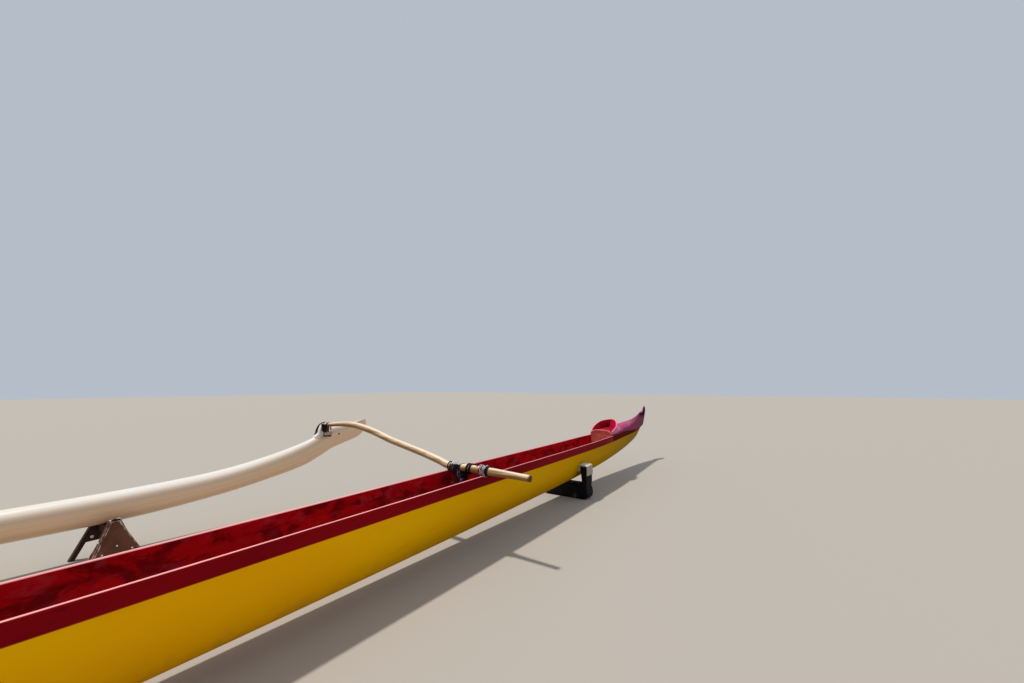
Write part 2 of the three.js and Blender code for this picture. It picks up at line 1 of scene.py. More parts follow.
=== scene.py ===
# %% [markdown]
# # A six-seat outrigger canoe on its stands
#
# The canoe is a long narrow hull with a float held out to its port side by two bent booms. It stands ashore: the
# hull on two padded cradles, the float on a low trestle.
#
# The plain solids of the part come first, as a fixed frame. Every visible piece is then built again on top of them,
# smoother and with its small detail, from the same few tables of sizes. Lengths are metres, +X points to the bow,
# +Y to port, and the ground is at z = 0.

# %% Load the plain solids
import math

import bmesh
import bpy
import numpy as np
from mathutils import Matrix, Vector


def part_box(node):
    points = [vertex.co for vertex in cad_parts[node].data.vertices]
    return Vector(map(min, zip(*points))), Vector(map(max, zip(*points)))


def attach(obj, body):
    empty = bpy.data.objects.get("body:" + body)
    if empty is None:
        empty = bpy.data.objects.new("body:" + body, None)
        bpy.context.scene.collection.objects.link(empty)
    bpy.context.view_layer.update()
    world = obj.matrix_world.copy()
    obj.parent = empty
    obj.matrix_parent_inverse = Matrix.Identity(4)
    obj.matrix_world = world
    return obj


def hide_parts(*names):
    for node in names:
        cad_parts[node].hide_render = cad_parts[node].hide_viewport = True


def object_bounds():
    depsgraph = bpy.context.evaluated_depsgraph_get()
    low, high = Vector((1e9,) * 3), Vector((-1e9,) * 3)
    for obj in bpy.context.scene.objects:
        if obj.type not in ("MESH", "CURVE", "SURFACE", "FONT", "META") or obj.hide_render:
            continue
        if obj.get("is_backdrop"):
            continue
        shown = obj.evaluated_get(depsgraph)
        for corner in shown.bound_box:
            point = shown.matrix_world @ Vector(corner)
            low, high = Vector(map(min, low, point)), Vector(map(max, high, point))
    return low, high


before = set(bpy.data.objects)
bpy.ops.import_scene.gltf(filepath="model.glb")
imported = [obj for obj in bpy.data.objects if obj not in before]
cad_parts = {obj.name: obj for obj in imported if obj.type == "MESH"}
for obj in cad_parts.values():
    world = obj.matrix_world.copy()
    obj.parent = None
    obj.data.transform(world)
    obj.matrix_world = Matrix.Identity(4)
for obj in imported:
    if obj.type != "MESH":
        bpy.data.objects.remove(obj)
solids_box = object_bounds()
hull_low, hull_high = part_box("hull")
CENTRELINE = (hull_low.y + hull_high.y) / 2


def placed(name, data):
    """A new object in the scene."""
    thing = bpy.data.objects.new(name, data)
    bpy.context.scene.collection.objects.link(thing)
    return thing


def direction(turn, height):
    """A direction from its turn, from +X towards +Y, and its height above the ground, both in radians."""
    return Vector((math.cos(height) * math.cos(turn), math.cos(height) * math.sin(turn), math.sin(height)))


print(len(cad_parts), "solids; the hull's centreline is at y =", round(CENTRELINE, 4))

# %% [markdown]
# ## Camera
#
# The photograph was taken with a very wide lens from just outside the starboard side, a little above the gunwale and
# looking along the canoe to its bow. A wide lens stretches what is near, so the lens has to be right before any
# shape can be compared. The camera is set by where it stands, how far it is turned from the bow, and its tilt.

# %% Camera
LENS = 14.0  # mm
SENSOR_WIDTH = 36.0  # mm
CAMERA_PLACE = (-1.334, CENTRELINE - 2.402, 1.370)
CAMERA_TURN = math.radians(34.97)  # from the bow towards port
CAMERA_TILT = math.radians(6.31)

sight = direction(CAMERA_TURN, CAMERA_TILT)
camera = placed("camera", bpy.data.cameras.new("camera"))
camera.data.lens = LENS
camera.data.sensor_width = SENSOR_WIDTH
camera.data.clip_start = 0.05
camera.location = CAMERA_PLACE
camera.rotation_euler = sight.to_track_quat("-Z", "Y").to_euler()
bpy.context.scene.camera = camera
print("the camera looks along", [round(c, 3) for c in sight])

# %% [markdown]
# ## Light and floor
#
# The real light is a high sun on the port side, so the side that the camera sees is in shade and gets its light from
# the sky and from the pale ground. A sun lamp with a wide angle gives the same lit top edges with soft shadows, and a
# bright even world stands for the sky. The floor is one pale warm colour, which tints what faces down as sand does.

# %% Light and floor
SUN_AZIMUTH = math.radians(104)
SUN_HEIGHT = math.radians(71)
SUN_POWER = 2.7
SUN_WIDTH = math.radians(3)
SKY_POWER = 0.58
FLOOR_HALF = 60.0

sun = placed("sun", bpy.data.lights.new("sun", "SUN"))
sun.data.energy = SUN_POWER
sun.data.angle = SUN_WIDTH
sun.data.color = (1.0, 0.965, 0.91)
sun_side = direction(SUN_AZIMUTH, SUN_HEIGHT)
sun.rotation_euler = sun_side.to_track_quat("Z", "Y").to_euler()

world = bpy.data.worlds.new("sky")
world.use_nodes = True
sky = world.node_tree.nodes["Background"]
sky.inputs["Color"].default_value = (0.80, 0.89, 1.0, 1)
sky.inputs["Strength"].default_value = SKY_POWER
bpy.context.scene.world = world
bpy.context.scene.view_settings.view_transform = "Standard"

floor_mesh = bpy.data.meshes.new("floor")
corners = [(-FLOOR_HALF, -FLOOR_HALF, 0), (FLOOR_HALF, -FLOOR_HALF, 0),
           (FLOOR_HALF, FLOOR_HALF, 0), (-FLOOR_HALF, FLOOR_HALF, 0)]
floor_mesh.from_pydata(corners, [], [(0, 1, 2, 3)])
floor_paint = bpy.data.materials.new("floor_pale")
floor_paint.use_nodes = True
floor_shader = floor_paint.node_tree.nodes["Principled BSDF"]
floor_shader.inputs["Base Color"].default_value = (0.42, 0.375, 0.325, 1)
floor_shader.inputs["Roughness"].default_value = 0.95
floor_mesh.materials.append(floor_paint)
floor = placed("floor", floor_mesh)
floor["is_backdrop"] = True
print("sun from", [round(c, 2) for c in sun_side], "and a floor of", 2 * FLOOR_HALF, "m")

# %% [markdown]
# ## Nodes written as sums
#
# A finish such as worn paint is a sum of small effects: a cloud of fading, a scuff, a run of dust. Built node by node
# it is hard to read. `Signal` wraps one output socket, and arithmetic on it adds the Math nodes, so a mask can be
# written as `1 - dust * 0.5`. Any other node comes from `Tree.node`. The same class serves Geometry Nodes later.

# %% Signals
def socket_named(sockets, key):
    """The socket at that place in the list, or the one in use that has that name."""
    if isinstance(key, int):
        return sockets[key]
    return next(socket for socket in sockets if socket.name == key and socket.enabled)


class Signal:
    """One output socket. Arithmetic on it adds Math nodes to its tree."""

    def __init__(self, tree, socket):
        self.tree = tree
        self.socket = socket

    def math(self, operation, first, second):
        return self.tree.node("ShaderNodeMath", {"operation": operation}, {0: first, 1: second})

    def __add__(self, other):
        return self.math("ADD", self, other)

    def __radd__(self, other):
        return self.math("ADD", other, self)

    def __sub__(self, other):
        return self.math("SUBTRACT", self, other)

    def __rsub__(self, other):
        return self.math("SUBTRACT", other, self)

    def __mul__(self, other):
        return self.math("MULTIPLY", self, other)

    def __rmul__(self, other):
        return self.math("MULTIPLY", other, self)


# %% [markdown]
# A node is described in one call: its kind, its settings, what goes into its sockets, and which output is wanted.
# The same words do for a material and for Geometry Nodes, because both are trees of nodes and links.

# %% Trees
class Tree:
    """A node tree that is written one node at a time."""

    def __init__(self, nodes):
        self.nodes = nodes

    def give(self, socket, value):
        if isinstance(value, Signal):
            self.nodes.links.new(value.socket, socket)
        else:
            socket.default_value = value

    def node(self, kind, settings=None, inputs=None, out=0):
        made = self.nodes.nodes.new(kind)
        for name, value in (settings or {}).items():
            setattr(made, name, value)
        for name, value in (inputs or {}).items():
            self.give(socket_named(made.inputs, name), value)
        return Signal(self, socket_named(made.outputs, out))


print("signals know", [name for name in vars(Signal) if name.startswith("__") and name.endswith("__")][2:])

# %% [markdown]
# ## A vocabulary for finishes
#
# `Look` is one material. Its methods are the few words that the finishes below are written in: `noise` for cloudy
# variation in metres of the real object, `mask` to cut a signal off with a soft edge, `patches` for both together,
# `mix` to lay one colour over another, and `bump` to turn a height into relief. Colours are given as they look on a
# screen and turned into the linear light that shaders work in.

# %% Colours
def rgb(code):
    """A colour in linear light from its hex code."""
    screen = [int(code[i:i + 2], 16) / 255 for i in (0, 2, 4)]
    return (*[c / 12.92 if c <= 0.04045 else ((c + 0.055) / 1.055) ** 2.4 for c in screen], 1.0)


print("screen yellow dcaa0c in linear light:", [round(c, 3) for c in rgb("dcaa0c")])

# %% [markdown]
# Object coordinates are the same on every side of a piece and stay with it, so a noise in them has no seams. `along`
# gives one of them by itself, for what changes with the height or towards the ends. `attribute` reads a number that
# the mesh carries at its points, for what depends on the piece's shape.

# %% Words for finishes
class Look(Tree):
    """A material, and the words to write its finish."""

    def __init__(self, name):
        self.material = bpy.data.materials.new(name)
        self.material.use_nodes = True
        super().__init__(self.material.node_tree)
        self.shader = self.nodes.nodes["Principled BSDF"]

    def place(self, stretch=(1, 1, 1)):
        where = self.node("ShaderNodeTexCoord", out="Object")
        return self.node("ShaderNodeMapping", inputs={"Vector": where, "Scale": stretch})

    def along(self, axis):
        return self.node("ShaderNodeSeparateXYZ", inputs={0: self.place()}, out=axis)

    def attribute(self, name):
        return self.node("ShaderNodeAttribute", {"attribute_name": name}, out="Fac")

    def noise(self, scale, detail=3.0, rough=0.55, stretch=(1, 1, 1), warp=0.0):
        inputs = {"Vector": self.place(stretch), "Scale": scale, "Detail": detail,
                  "Roughness": rough, "Distortion": warp}
        return self.node("ShaderNodeTexNoise", inputs=inputs)

    def cells(self, scale, stretch=(1, 1, 1)):
        return self.node("ShaderNodeTexVoronoi", inputs={"Vector": self.place(stretch), "Scale": scale},
                         out="Distance")

    def mask(self, signal, low, high):
        """0 below low and 1 above high, or the other way round if low is the larger."""
        return self.node("ShaderNodeMapRange", {"interpolation_type": "SMOOTHSTEP"},
                         {"Value": signal, "From Min": low, "From Max": high})

    def patches(self, scale, low, high, **noise):
        """Noise cut off into patches with soft edges."""
        return self.mask(self.noise(scale, **noise), low, high)

    def mix(self, factor, below, above):
        """One colour over another. Each is a signal or a hex code."""
        below, above = (rgb(colour) if isinstance(colour, str) else colour for colour in (below, above))
        return self.node("ShaderNodeMix", {"data_type": "RGBA"}, {"Factor": factor, "A": below, "B": above},
                         out="Result")

    def bump(self, height, depth, strength=1.0):
        return self.node("ShaderNodeBump", inputs={"Height": height, "Distance": depth, "Strength": strength})

    def wear(self, inputs):
        for name, value in inputs.items():
            self.give(self.shader.inputs[name], value)
        print(self.material.name, len(self.nodes.nodes), "nodes")


print("a look knows", [name for name in vars(Look) if not name.startswith("_")])

# %% [markdown]
# ## Painted hull
#
# The hull is glass fibre with a yellow gloss coat that has stood in the sun for years: paler clouds, faint brown
# blotches that run along the hull, dust low down where sand is thrown up, and hairline scratches from the beach. On
# top of that, painted shade darkens the yellow forward of the near end, towards both ends and low down on the side,
# and a painted reflection of green water tints the very tips. The scratches are noise squeezed along X, which turns
# round spots into long streaks.

# %% Yellow hull paint
look = hull_yellow = Look("hull_yellow")
cloud = look.noise(1.3, stretch=(0.45, 1, 1))
blotch = look.patches(5.5, 0.54, 0.76, detail=5, stretch=(0.35, 1, 1.2))
streak = look.patches(70, 0.66, 0.74, detail=2, stretch=(0.03, 1, 1))
low_down = look.mask(look.along("Z"), 0.30, 0.12)
# Painted shade: darker low down on the hull's side.
low_painted_shade = look.mask(look.along("Z") + cloud * 0.10, 0.50, 0.26)
dust = low_down * look.patches(14, 0.42, 0.66, detail=6)
reach = look.node("ShaderNodeMath", {"operation": "ABSOLUTE"}, {0: look.along("X")})
# Painted shade: darker forward of the near end and towards both ends.
forward = look.mask(look.along("X") + cloud * 0.3, -0.4, 2.3)
ends_painted_shade = forward * 0.42 + look.mask(reach + cloud * 0.3, 1.6, 6.2) * 0.58
paint = look.mix(look.mask(cloud, 0.38, 0.64), "fab000", "ffbc00")
paint = look.mix(ends_painted_shade, paint, "a27a00")
# Painted reflection of green water near the tips.
paint = look.mix(look.mask(reach + cloud * 0.4, 4.9, 6.4) * 0.75, paint, "8c7616")
paint = look.mix(low_painted_shade * (0.12 + forward * 0.48), paint, "a87400")
paint = look.mix(blotch * 0.16, paint, "b07400")
paint = look.mix(streak * 0.10, paint, "f4c840")
paint = look.mix(dust * 0.30, paint, "9c7c3c")
look.wear({
    "Base Color": paint,
    "Roughness": 0.38 + cloud * 0.10 + dust * 0.30 + streak * 0.15,
    "Coat Weight": 0.06 - dust * 0.05,
    "Coat Roughness": 0.15,
    "Specular IOR Level": 0.0,
    "Normal": look.bump(cloud + streak * 0.06, 0.004, 0.35),
})

# %% [markdown]
# The red of the gunwales is darker on its sides than on its top edge, where hands, paddles and sun have worn it pink
# and a painted highlight, stronger aft of midships, adds the light on the rounded top. A thin painted highlight in
# orange lines the strake's foot. The gunwale's mesh will carry an attribute `up`, from 0 at its foot to 1 on top, so
# the pale edge follows the strake along its whole curve, which a height above the ground couldn't.

# %% Red gunwale paint
look = gunwale_red = Look("gunwale_red")
up = look.attribute("up")
cloud = look.noise(2.2, stretch=(0.4, 1, 1))
chip = look.patches(46, 0.60, 0.68, detail=4, stretch=(0.35, 1, 1))
inner = look.mask(look.attribute("inner"), 0.4, 0.6)
# Pale top edge: worn paint and a painted highlight, stronger aft of midships.
worn_edge_and_highlight = look.mask(up + inner * 0.045 + look.noise(18, stretch=(0.3, 1, 1)) * 0.03, 0.985, 1.012)
forward = look.mask(look.along("X"), 0.4, 1.6)
# A thin painted highlight along the strake's foot.
foot_highlight = look.mask(up, 0.06, 0.01) * (1 - inner)
damp = look.patches(9, 0.46, 0.60, detail=5, rough=0.62, stretch=(0.6, 1, 1), warp=0.5)
dusty = look.patches(13, 0.52, 0.64, detail=5, rough=0.62, stretch=(0.7, 1, 1)) * inner
paint = look.mix(look.mask(cloud, 0.35, 0.65), "78040e", "8e0812")
paint = look.mix(inner, paint, look.mix(damp * 0.75, "b80814", "5c020a"))
paint = look.mix(dusty * 0.30, paint, "c0404c")
paint = look.mix(chip * 0.30, paint, "4a0209")
paint = look.mix(worn_edge_and_highlight * (0.92 - forward * 0.12), paint, look.mix(forward, "ffb0ac", "f4949c"))
paint = look.mix(foot_highlight * 0.7, paint, "c85a38")
look.wear({
    "Base Color": paint,
    "Roughness": 0.50 + cloud * 0.12 + worn_edge_and_highlight * 0.05,
    "Specular IOR Level": 0.03,
    "Normal": look.bump(cloud * 0.5 + chip * 0.1, 0.003, 0.4),
})

# %% [markdown]
# The splash guards have the same paint. Their rim, which everyone steps over, is worn pink and carries a painted
# highlight; the attribute `up` is 1 on the rim and falls by one for every 0.2 m below it. The starboard wing, which
# the sun lights, is painted a brighter red for that light; an attribute marks it with 1.

# %% Splash guard paint
look = guard_red = Look("guard_red")
up = look.attribute("up")
patch = look.patches(20, 0.44, 0.58, detail=5, warp=0.4)
# Pale rim: worn paint and a painted highlight.
rim = look.mask(up + look.noise(50) * 0.03, 0.965, 1.005)
paint = look.mix(patch, "760814", "60060e")
# Painted sunlight: the sunlit starboard wing in a brighter red.
paint = look.mix(look.attribute("sunny"), paint, look.mix(patch, "a01030", "8c0e26"))
paint = look.mix(rim, paint, "ee8098")
look.wear({
    "Base Color": paint,
    "Roughness": 0.42 + patch * 0.15,
    "Specular IOR Level": 0.0,
    "Normal": look.bump(patch, 0.001, 0.4),
})

# %% [markdown]
# Inside, the red was rolled on over rough glass cloth. It is deeper, blotchy, with dark damp patches and pale salt
# stains near the bottom, and the weave of the cloth shows as a fine relief.

# %% Red inside paint
look = inside_red = Look("inside_red")
cloud = look.noise(3.0, detail=5, stretch=(0.6, 1, 1))
patch = look.patches(9, 0.46, 0.60, detail=5, rough=0.62, stretch=(0.6, 1, 1), warp=0.5)
salt = look.patches(26, 0.54, 0.66, detail=6)
deep = look.mask(look.along("Z"), 0.42, 0.16)
paint = look.mix(look.mask(cloud, 0.35, 0.65), "b0080f", "c80c16")
paint = look.mix(patch * 0.75, paint, "5c020a")
dusty = look.patches(13, 0.52, 0.64, detail=5, rough=0.62, stretch=(0.7, 1, 1))
paint = look.mix(dusty * 0.30, paint, "c83a4c")
paint = look.mix(salt * (0.08 + deep * 0.22), paint, "b85c58")
weave = look.noise(190, detail=2)
look.wear({
    "Base Color": paint,
    "Roughness": 0.50 + patch * 0.12 + salt * 0.12,
    "Specular IOR Level": 0.15,
    "Normal": look.bump(cloud + weave * 0.16, 0.005, 0.5),
})

# %% [markdown]
# The end pieces shine most. Painted light stands for sun and sky reflected on their gloss: what faces up is a pinkish
# magenta, the sides a dull mauve, and a painted highlight makes the horn's back edge nearly white, while painted
# shade darkens the upper part of the horn. A maroon band runs along their foot. The attribute `band` is 0 at the foot
# and 1 at the upper edge of that band, `faces_up` is the part of the surface's direction that points up, `back` is 1
# on the horn's back edge and falls by one in 5 cm, and `sheltered` is 1 between the wings of the splash guard, where
# the deck keeps its plain red without the painted light.

# %% End piece gloss
look = deck_red = Look("deck_red")
band = look.attribute("band")
reach = look.node("ShaderNodeMath", {"operation": "ABSOLUTE"}, {0: look.along("X")})
cloud = look.noise(4.0, detail=4, stretch=(0.5, 1, 1))
fade = look.mask(band + cloud * 0.25, 0.95, 1.30)
# Painted sun and sky reflection: magenta on what faces up, mauve on the sides.
painted_top_light = look.mask(look.attribute("faces_up") + cloud * 0.15, 0.34, 0.72)
sheltered = look.mask(look.attribute("sheltered"), 0.35, 0.65)
horn = look.mask(reach + cloud * 0.15, 6.16, 6.50)
speck = look.patches(60, 0.62, 0.70, detail=5)
blush = look.mix(look.mask(cloud, 0.40, 0.58), "b83468", "dc789c")
blush = look.mix(look.mask(reach + cloud * 0.3, 5.2, 6.1) * 0.75, blush, "80284a")
crown = look.mix(painted_top_light, "8a4560", blush)
# Painted shade on the upper part of the horn.
horn_painted_shade = look.mask(look.along("Z") + cloud * 0.06, 0.79, 0.87)
crown = look.mix(horn, crown, look.mix(horn_painted_shade, "7a4c62", "4a1430"))
# Painted highlight along the horn's back edge.
edge = look.mask(look.attribute("back") + cloud * 0.2, 0.24, 0.66)
crown = look.mix(edge * 0.9, crown, "fcc0d0")
crown = look.mix(sheltered, crown, "a81e2c")
paint = look.mix(fade, "5c1e18", crown)
paint = look.mix(speck * 0.20, paint, "4a1018")
look.wear({
    "Base Color": paint,
    "Roughness": 0.26 + cloud * 0.10 + speck * 0.2,
    "Coat Weight": 0.35 * painted_top_light * fade,
    "Coat Roughness": 0.12,
    "Specular IOR Level": 0.0,
    "Normal": look.bump(cloud, 0.006, 0.35),
})

# %% [markdown]
# The bulkheads' red has faded to a speckled salmon, the only matt paint on the canoe. Two sizes of speck are mixed:
# sun-bleached grains and small dark chips.

# %% Bulkhead paint
look = bulkhead_salmon = Look("bulkhead_salmon")
cloud = look.noise(6, detail=4)
grain = look.patches(75, 0.44, 0.62, detail=4, rough=0.7)
chip = look.patches(38, 0.60, 0.68, detail=5, warp=0.4)
paint = look.mix(look.mask(cloud, 0.35, 0.65), "c03c34", "d05a50")
paint = look.mix(grain * 0.45, paint, "ec9488")
paint = look.mix(chip * 0.65, paint, "800c0c")
look.wear({
    "Base Color": paint,
    "Roughness": 0.55 + grain * 0.15,
    "Specular IOR Level": 0.15,
    "Normal": look.bump(grain + chip * -0.8, 0.0012, 0.6),
})

# %% [markdown]
# ## Wood
#
# The booms are peeled poles under varnish. Their grain runs along Y, the length of the pole, so noise is squeezed
# along Y: broad honey streaks, fine dark fibres, and a few knots where a branch was. A painted highlight lightens the
# upper side and painted shade darkens the under side, which the attribute `faces_up` tells apart. `endgrain` marks
# the sawn ends, which drink varnish and go darker.

# %% Boom wood
look = boom_wood = Look("boom_wood")
streak = look.noise(26, detail=4, stretch=(1, 0.07, 1), warp=0.3)
fibre = look.patches(150, 0.54, 0.68, detail=3, stretch=(1, 0.05, 1))
knot = look.mask(look.cells(2.6, stretch=(1.6, 1, 1.6)), 0.11, 0.03)
weathered = look.patches(3.2, 0.50, 0.68, detail=4, stretch=(1, 0.6, 1))
ends = look.attribute("endgrain")
# Painted shade underneath and a painted highlight on top.
under = look.mask(look.attribute("faces_up") + streak * 0.25, 0.56, 0.08)
painted_top_light = look.mask(look.attribute("faces_up"), 0.55, 0.90)
wood = look.mix(look.mask(streak, 0.40, 0.60), "a87c4a", "dcbc94")
wood = look.mix(fibre * 0.45, wood, "7e5430")
wood = look.mix(weathered * 0.25, wood, "d2bca4")
wood = look.mix(under * 0.70, wood, "7e5422")
wood = look.mix(painted_top_light * 0.75, wood, "f6e6d0")
wood = look.mix(knot * 0.75, wood, "4e2c12")
wood = look.mix(ends * 0.90, wood, "54341a")
look.wear({
    "Base Color": wood,
    "Roughness": 0.42 + weathered * 0.14 + ends * 0.25,
    "Coat Weight": 0.10 - ends * 0.10,
    "Coat Roughness": 0.20,
    "Specular IOR Level": 0.2,
    "Normal": look.bump(streak + fibre * -0.25, 0.0012, 0.4),
})

# %% [markdown]
# The trestle, the chocks and the seats are sawn boards under a coat of paint that has rubbed off their edges. Each
# board carries an attribute `edge`, 1 on a sharp edge and 0 a little way in. Noise is added before it is cut off, so
# the bare wood shows in ragged chips and not in an even border. One function writes all three finishes.

# %% Painted boards
def painted_board(name, dark, light, bare, rough, chipped):
    look = Look(name)
    cloud = look.noise(5, detail=4)
    grain = look.noise(55, detail=4, stretch=(1, 1, 0.18))
    ragged = look.attribute("edge") + look.noise(42, detail=5, rough=0.65) * 0.9
    bare_wood = look.mask(ragged, chipped, chipped + 0.14)
    scuff = look.patches(16, 0.62, 0.74, detail=6, rough=0.7)
    paint = look.mix(look.mask(cloud, 0.35, 0.65), dark, light)
    paint = look.mix(scuff * 0.35, paint, bare)
    paint = look.mix(bare_wood, paint, look.mix(look.mask(grain, 0.4, 0.6), bare, light))
    look.wear({
        "Base Color": paint,
        "Roughness": rough + bare_wood * 0.2 + scuff * 0.1,
        "Specular IOR Level": 0.2,
        "Normal": look.bump(grain * 0.5 + bare_wood * -0.6, 0.0015, 0.6),
    })
    return look


trestle_brown = painted_board("trestle_brown", "583426", "704634", "e2d2c2", 0.55, 1.12)
# A darker copy of the trestle paint: painted shade for the parts under the float.
trestle_dark = painted_board("trestle_dark", "301a14", "482c24", "7c6450", 0.60, 1.25)
cap_worn = painted_board("cap_worn", "2c1a14", "40281e", "f0e6da", 0.55, 0.92)
chock_brown = painted_board("chock_brown", "5e2c22", "77382a", "a8806a", 0.48, 1.15)
seat_red = painted_board("seat_red", "7a1218", "961a20", "b88a74", 0.36, 1.22)

# %% [markdown]
# ## Cords, straps, foam and gel coat
#
# The lashings are thick black cord that has greyed in the sun. A laid rope shows its twist because its strands cross
# its length at a slant: the attributes `run` (metres along the cord) and `around` (0 to 1 round it) give that slant
# as one repeating number, whose distance from the middle of each strand is the relief. Painted shade darkens the
# grooves between the strands, and the upper side is paler, partly bleached and partly a painted highlight.

# %% Cord
def laid_cord(name, dark, faded, painted_top_light, strands, lay):
    look = Look(name)
    slant = look.attribute("run") * (1 / lay) + look.attribute("around") * strands
    strand = look.node("ShaderNodeMath", {"operation": "PINGPONG"}, {0: slant, 1: 0.5}) * 2
    worn = look.patches(38, 0.40, 0.64, detail=4)
    # Paler upper side: bleaching and a painted highlight.
    high = look.mask(look.attribute("sunny") + look.noise(24) * 0.5, 0.62, 1.05)
    colour = look.mix(worn * 0.6, dark, faded)
    colour = look.mix(high * 0.85, colour, painted_top_light)
    # Painted shade in the grooves between the strands.
    colour = look.mix(look.mask(strand, 0.30, 0.04) * 0.6, colour, "0c0b0c")
    look.wear({
        "Base Color": colour,
        "Roughness": 0.72 + worn * 0.15,
        "Specular IOR Level": 0.15,
        "Normal": look.bump(strand + look.noise(420, detail=2) * 0.25, 0.0012, 0.8),
    })
    return look


cord_black = laid_cord("cord_black", "0c0a0e", "2c2228", "3c3238", 2, 0.030)
cord_grey = laid_cord("cord_grey", "3c2428", "947678", "ece0dc", 3, 0.024)
cord_pale = laid_cord("cord_pale", "a89090", "dcc6c0", "fff0e8", 3, 0.020)
cord_tan = laid_cord("cord_tan", "94704e", "c09a78", "e0c4a4", 3, 0.020)
# Black cord whose top is partly bleached and partly a painted highlight.
cord_sunned = laid_cord("cord_sunned", "0c0a0e", "2c2228", "ece0dc", 2, 0.030)

# %% [markdown]
# The straps at the float are cut from a black rubber tube. Rubber turns chalky in the sun, so soft grey clouds lie on
# the black, and it is a little rougher there. A fine noise squeezed across the strap gives it small creases.

# %% Rubber strap
look = strap_black = Look("strap_black")
crease = look.noise(60, detail=4, stretch=(1, 1, 0.4))
chalky = look.patches(20, 0.52, 0.72, detail=5)
look.wear({
    "Base Color": look.mix(chalky * 0.5, "0c0a0c", "3a3036"),
    "Specular IOR Level": 0.25,
    "Roughness": 0.50 + chalky * 0.3,
    "Normal": look.bump(crease, 0.0015, 0.5),
})

# %% [markdown]
# The float has the same gloss coat as the hull, in white. Painted shade turns it tan below its lit top, most of all
# on the side away from the sun, which the attribute `away` marks, and greyer on the upper flank of that side; a
# painted warm bounce light tints the bottom tan. It collects fine grey scuffs along its bottom and shows a faint line
# where its two halves were joined. The mesh marks that line with `seam`.

# %% White gel coat
look = float_white = Look("float_white")
cloud = look.noise(1.6, detail=4, stretch=(0.5, 1, 1))
scuff = look.patches(34, 0.60, 0.72, detail=6, rough=0.7, stretch=(0.12, 1, 1))
speck = look.patches(85, 0.70, 0.76, detail=3)
seam = look.mask(look.attribute("seam"), 0.35, 0.95)
faces_up = look.attribute("faces_up") + cloud * 0.08
away = look.attribute("away")
# Painted shade: tan below the lit top, most on the side away from the sun, greyer on that side's upper flank.
painted_shade = look.mask(faces_up, 0.80, 0.48) * (0.30 + away * 0.70)
flank_painted_shade = painted_shade * look.mask(faces_up, 0.14, 0.42) * away
# Painted warm bounce light: tan on the bottom.
under = look.mask(look.attribute("side"), -0.15, -0.75)
coat = look.mix(look.mask(cloud, 0.36, 0.64), "eee6e0", "ece0d0")
coat = look.mix(painted_shade * 0.80, coat, "ecc498")
coat = look.mix(flank_painted_shade * 0.56, coat, "c8b4a0")
coat = look.mix(under * 0.30, coat, "dcb084")
coat = look.mix(scuff * (0.10 + under * 0.30), coat, "8f7a66")
coat = look.mix(speck * 0.35, coat, "6e6258")
coat = look.mix(seam * 0.22, coat, "b5a68e")
look.wear({
    "Base Color": coat,
    "Roughness": 0.24 + cloud * 0.08 + scuff * 0.25,
    "Coat Weight": 0.25,
    "Coat Roughness": 0.05,
    "Specular IOR Level": 0.3,
    "Normal": look.bump(cloud + seam * 0.06 + scuff * -0.02, 0.008, 0.3),
})

# %% [markdown]
# The cradles are blocks of black foam with a rubbery skin. Sand sticks to it low down, and the skin has worn through
# to a dark grey on the edges. `edge` is 1 on a sharp edge and falls to 0 beside it; with some noise added, the wear
# gets a ragged outline. Shine would make it look wet, so there is hardly any.

# %% Cradle foam
look = cradle_black = Look("cradle_black")
pore = look.noise(240, detail=3)
sandy = look.patches(11, 0.50, 0.70, detail=6, rough=0.65)
low_down = look.mask(look.along("Z"), 0.16, 0.0)
worn_edge = look.mask(look.attribute("edge") + look.noise(30, detail=4) * 0.6, 0.95, 1.3)
rubber = look.mix(sandy * (0.05 + low_down * 0.35), "070607", "6e604e")
look.wear({
    "Base Color": look.mix(worn_edge * 0.35, rubber, "34303a"),
    "Roughness": 0.62 + sandy * 0.2,
    "Specular IOR Level": 0.12,
    "Normal": look.bump(pore + sandy * 0.4, 0.0012, 0.6),
})

# %% [markdown]
# The pads are pale carpet. A tufted pile is too fine to model from this far, so a very fine noise gives it relief.
# Painted shade makes its steep faces, such as the flaps that hang down at the side, greyer than the top.

# %% Carpet
look = pad_white = Look("pad_white")
tuft = look.noise(330, detail=2)
stain = look.patches(17, 0.48, 0.70, detail=5)
carpet = look.mix(stain * 0.5, "e0d6be", "a89a78")
# Painted shade on the steep faces.
side_painted_shade = look.mask(look.attribute("faces_up"), 0.50, 0.05)
look.wear({
    "Base Color": look.mix(side_painted_shade * 0.62, carpet, "7c7264"),
    "Roughness": 0.92,
    "Normal": look.bump(tuft, 0.003, 0.9),
})

# %% [markdown]
# Bolts, washer and screw are galvanised steel, dulled by salt to a pale grey with a little rust. Dull zinc looks more
# like paint than like a mirror, so it is only slightly metallic.

# %% Bolt metal
look = bolt_metal = Look("bolt_metal")
rust = look.patches(120, 0.52, 0.66, detail=4)
look.wear({
    "Base Color": look.mix(rust * 0.30, "fffaf4", "8c6a50"),
    "Metallic": 0.20 - rust * 0.2,
    "Roughness": 0.32 + rust * 0.35,
})

# %% [markdown]
# ## Building meshes
#
# Most of the canoe is a loft: a row of closed rings of points, skinned with quads and capped at both ends. The rings
# here are plain arrays, so a shape is a formula and not a list of corners. `build` moves the points from the hull's
# centreline to their place in the frame, merges what coincides, and turns every face outwards. Attributes are
# worked out afterwards from where the points ended up.

# %% Points and faces
def circle(count):
    """Angles all the way round, evenly spaced."""
    return np.linspace(0, 2 * math.pi, count, endpoint=False)


def unit(rows):
    """Rows of three numbers as directions of length 1."""
    return rows / np.linalg.norm(rows, axis=1)[:, None]


def squarish(wave, power):
    """A sine or cosine that a power below 1 pulls towards a square wave."""
    return np.sign(wave) * np.abs(wave) ** power


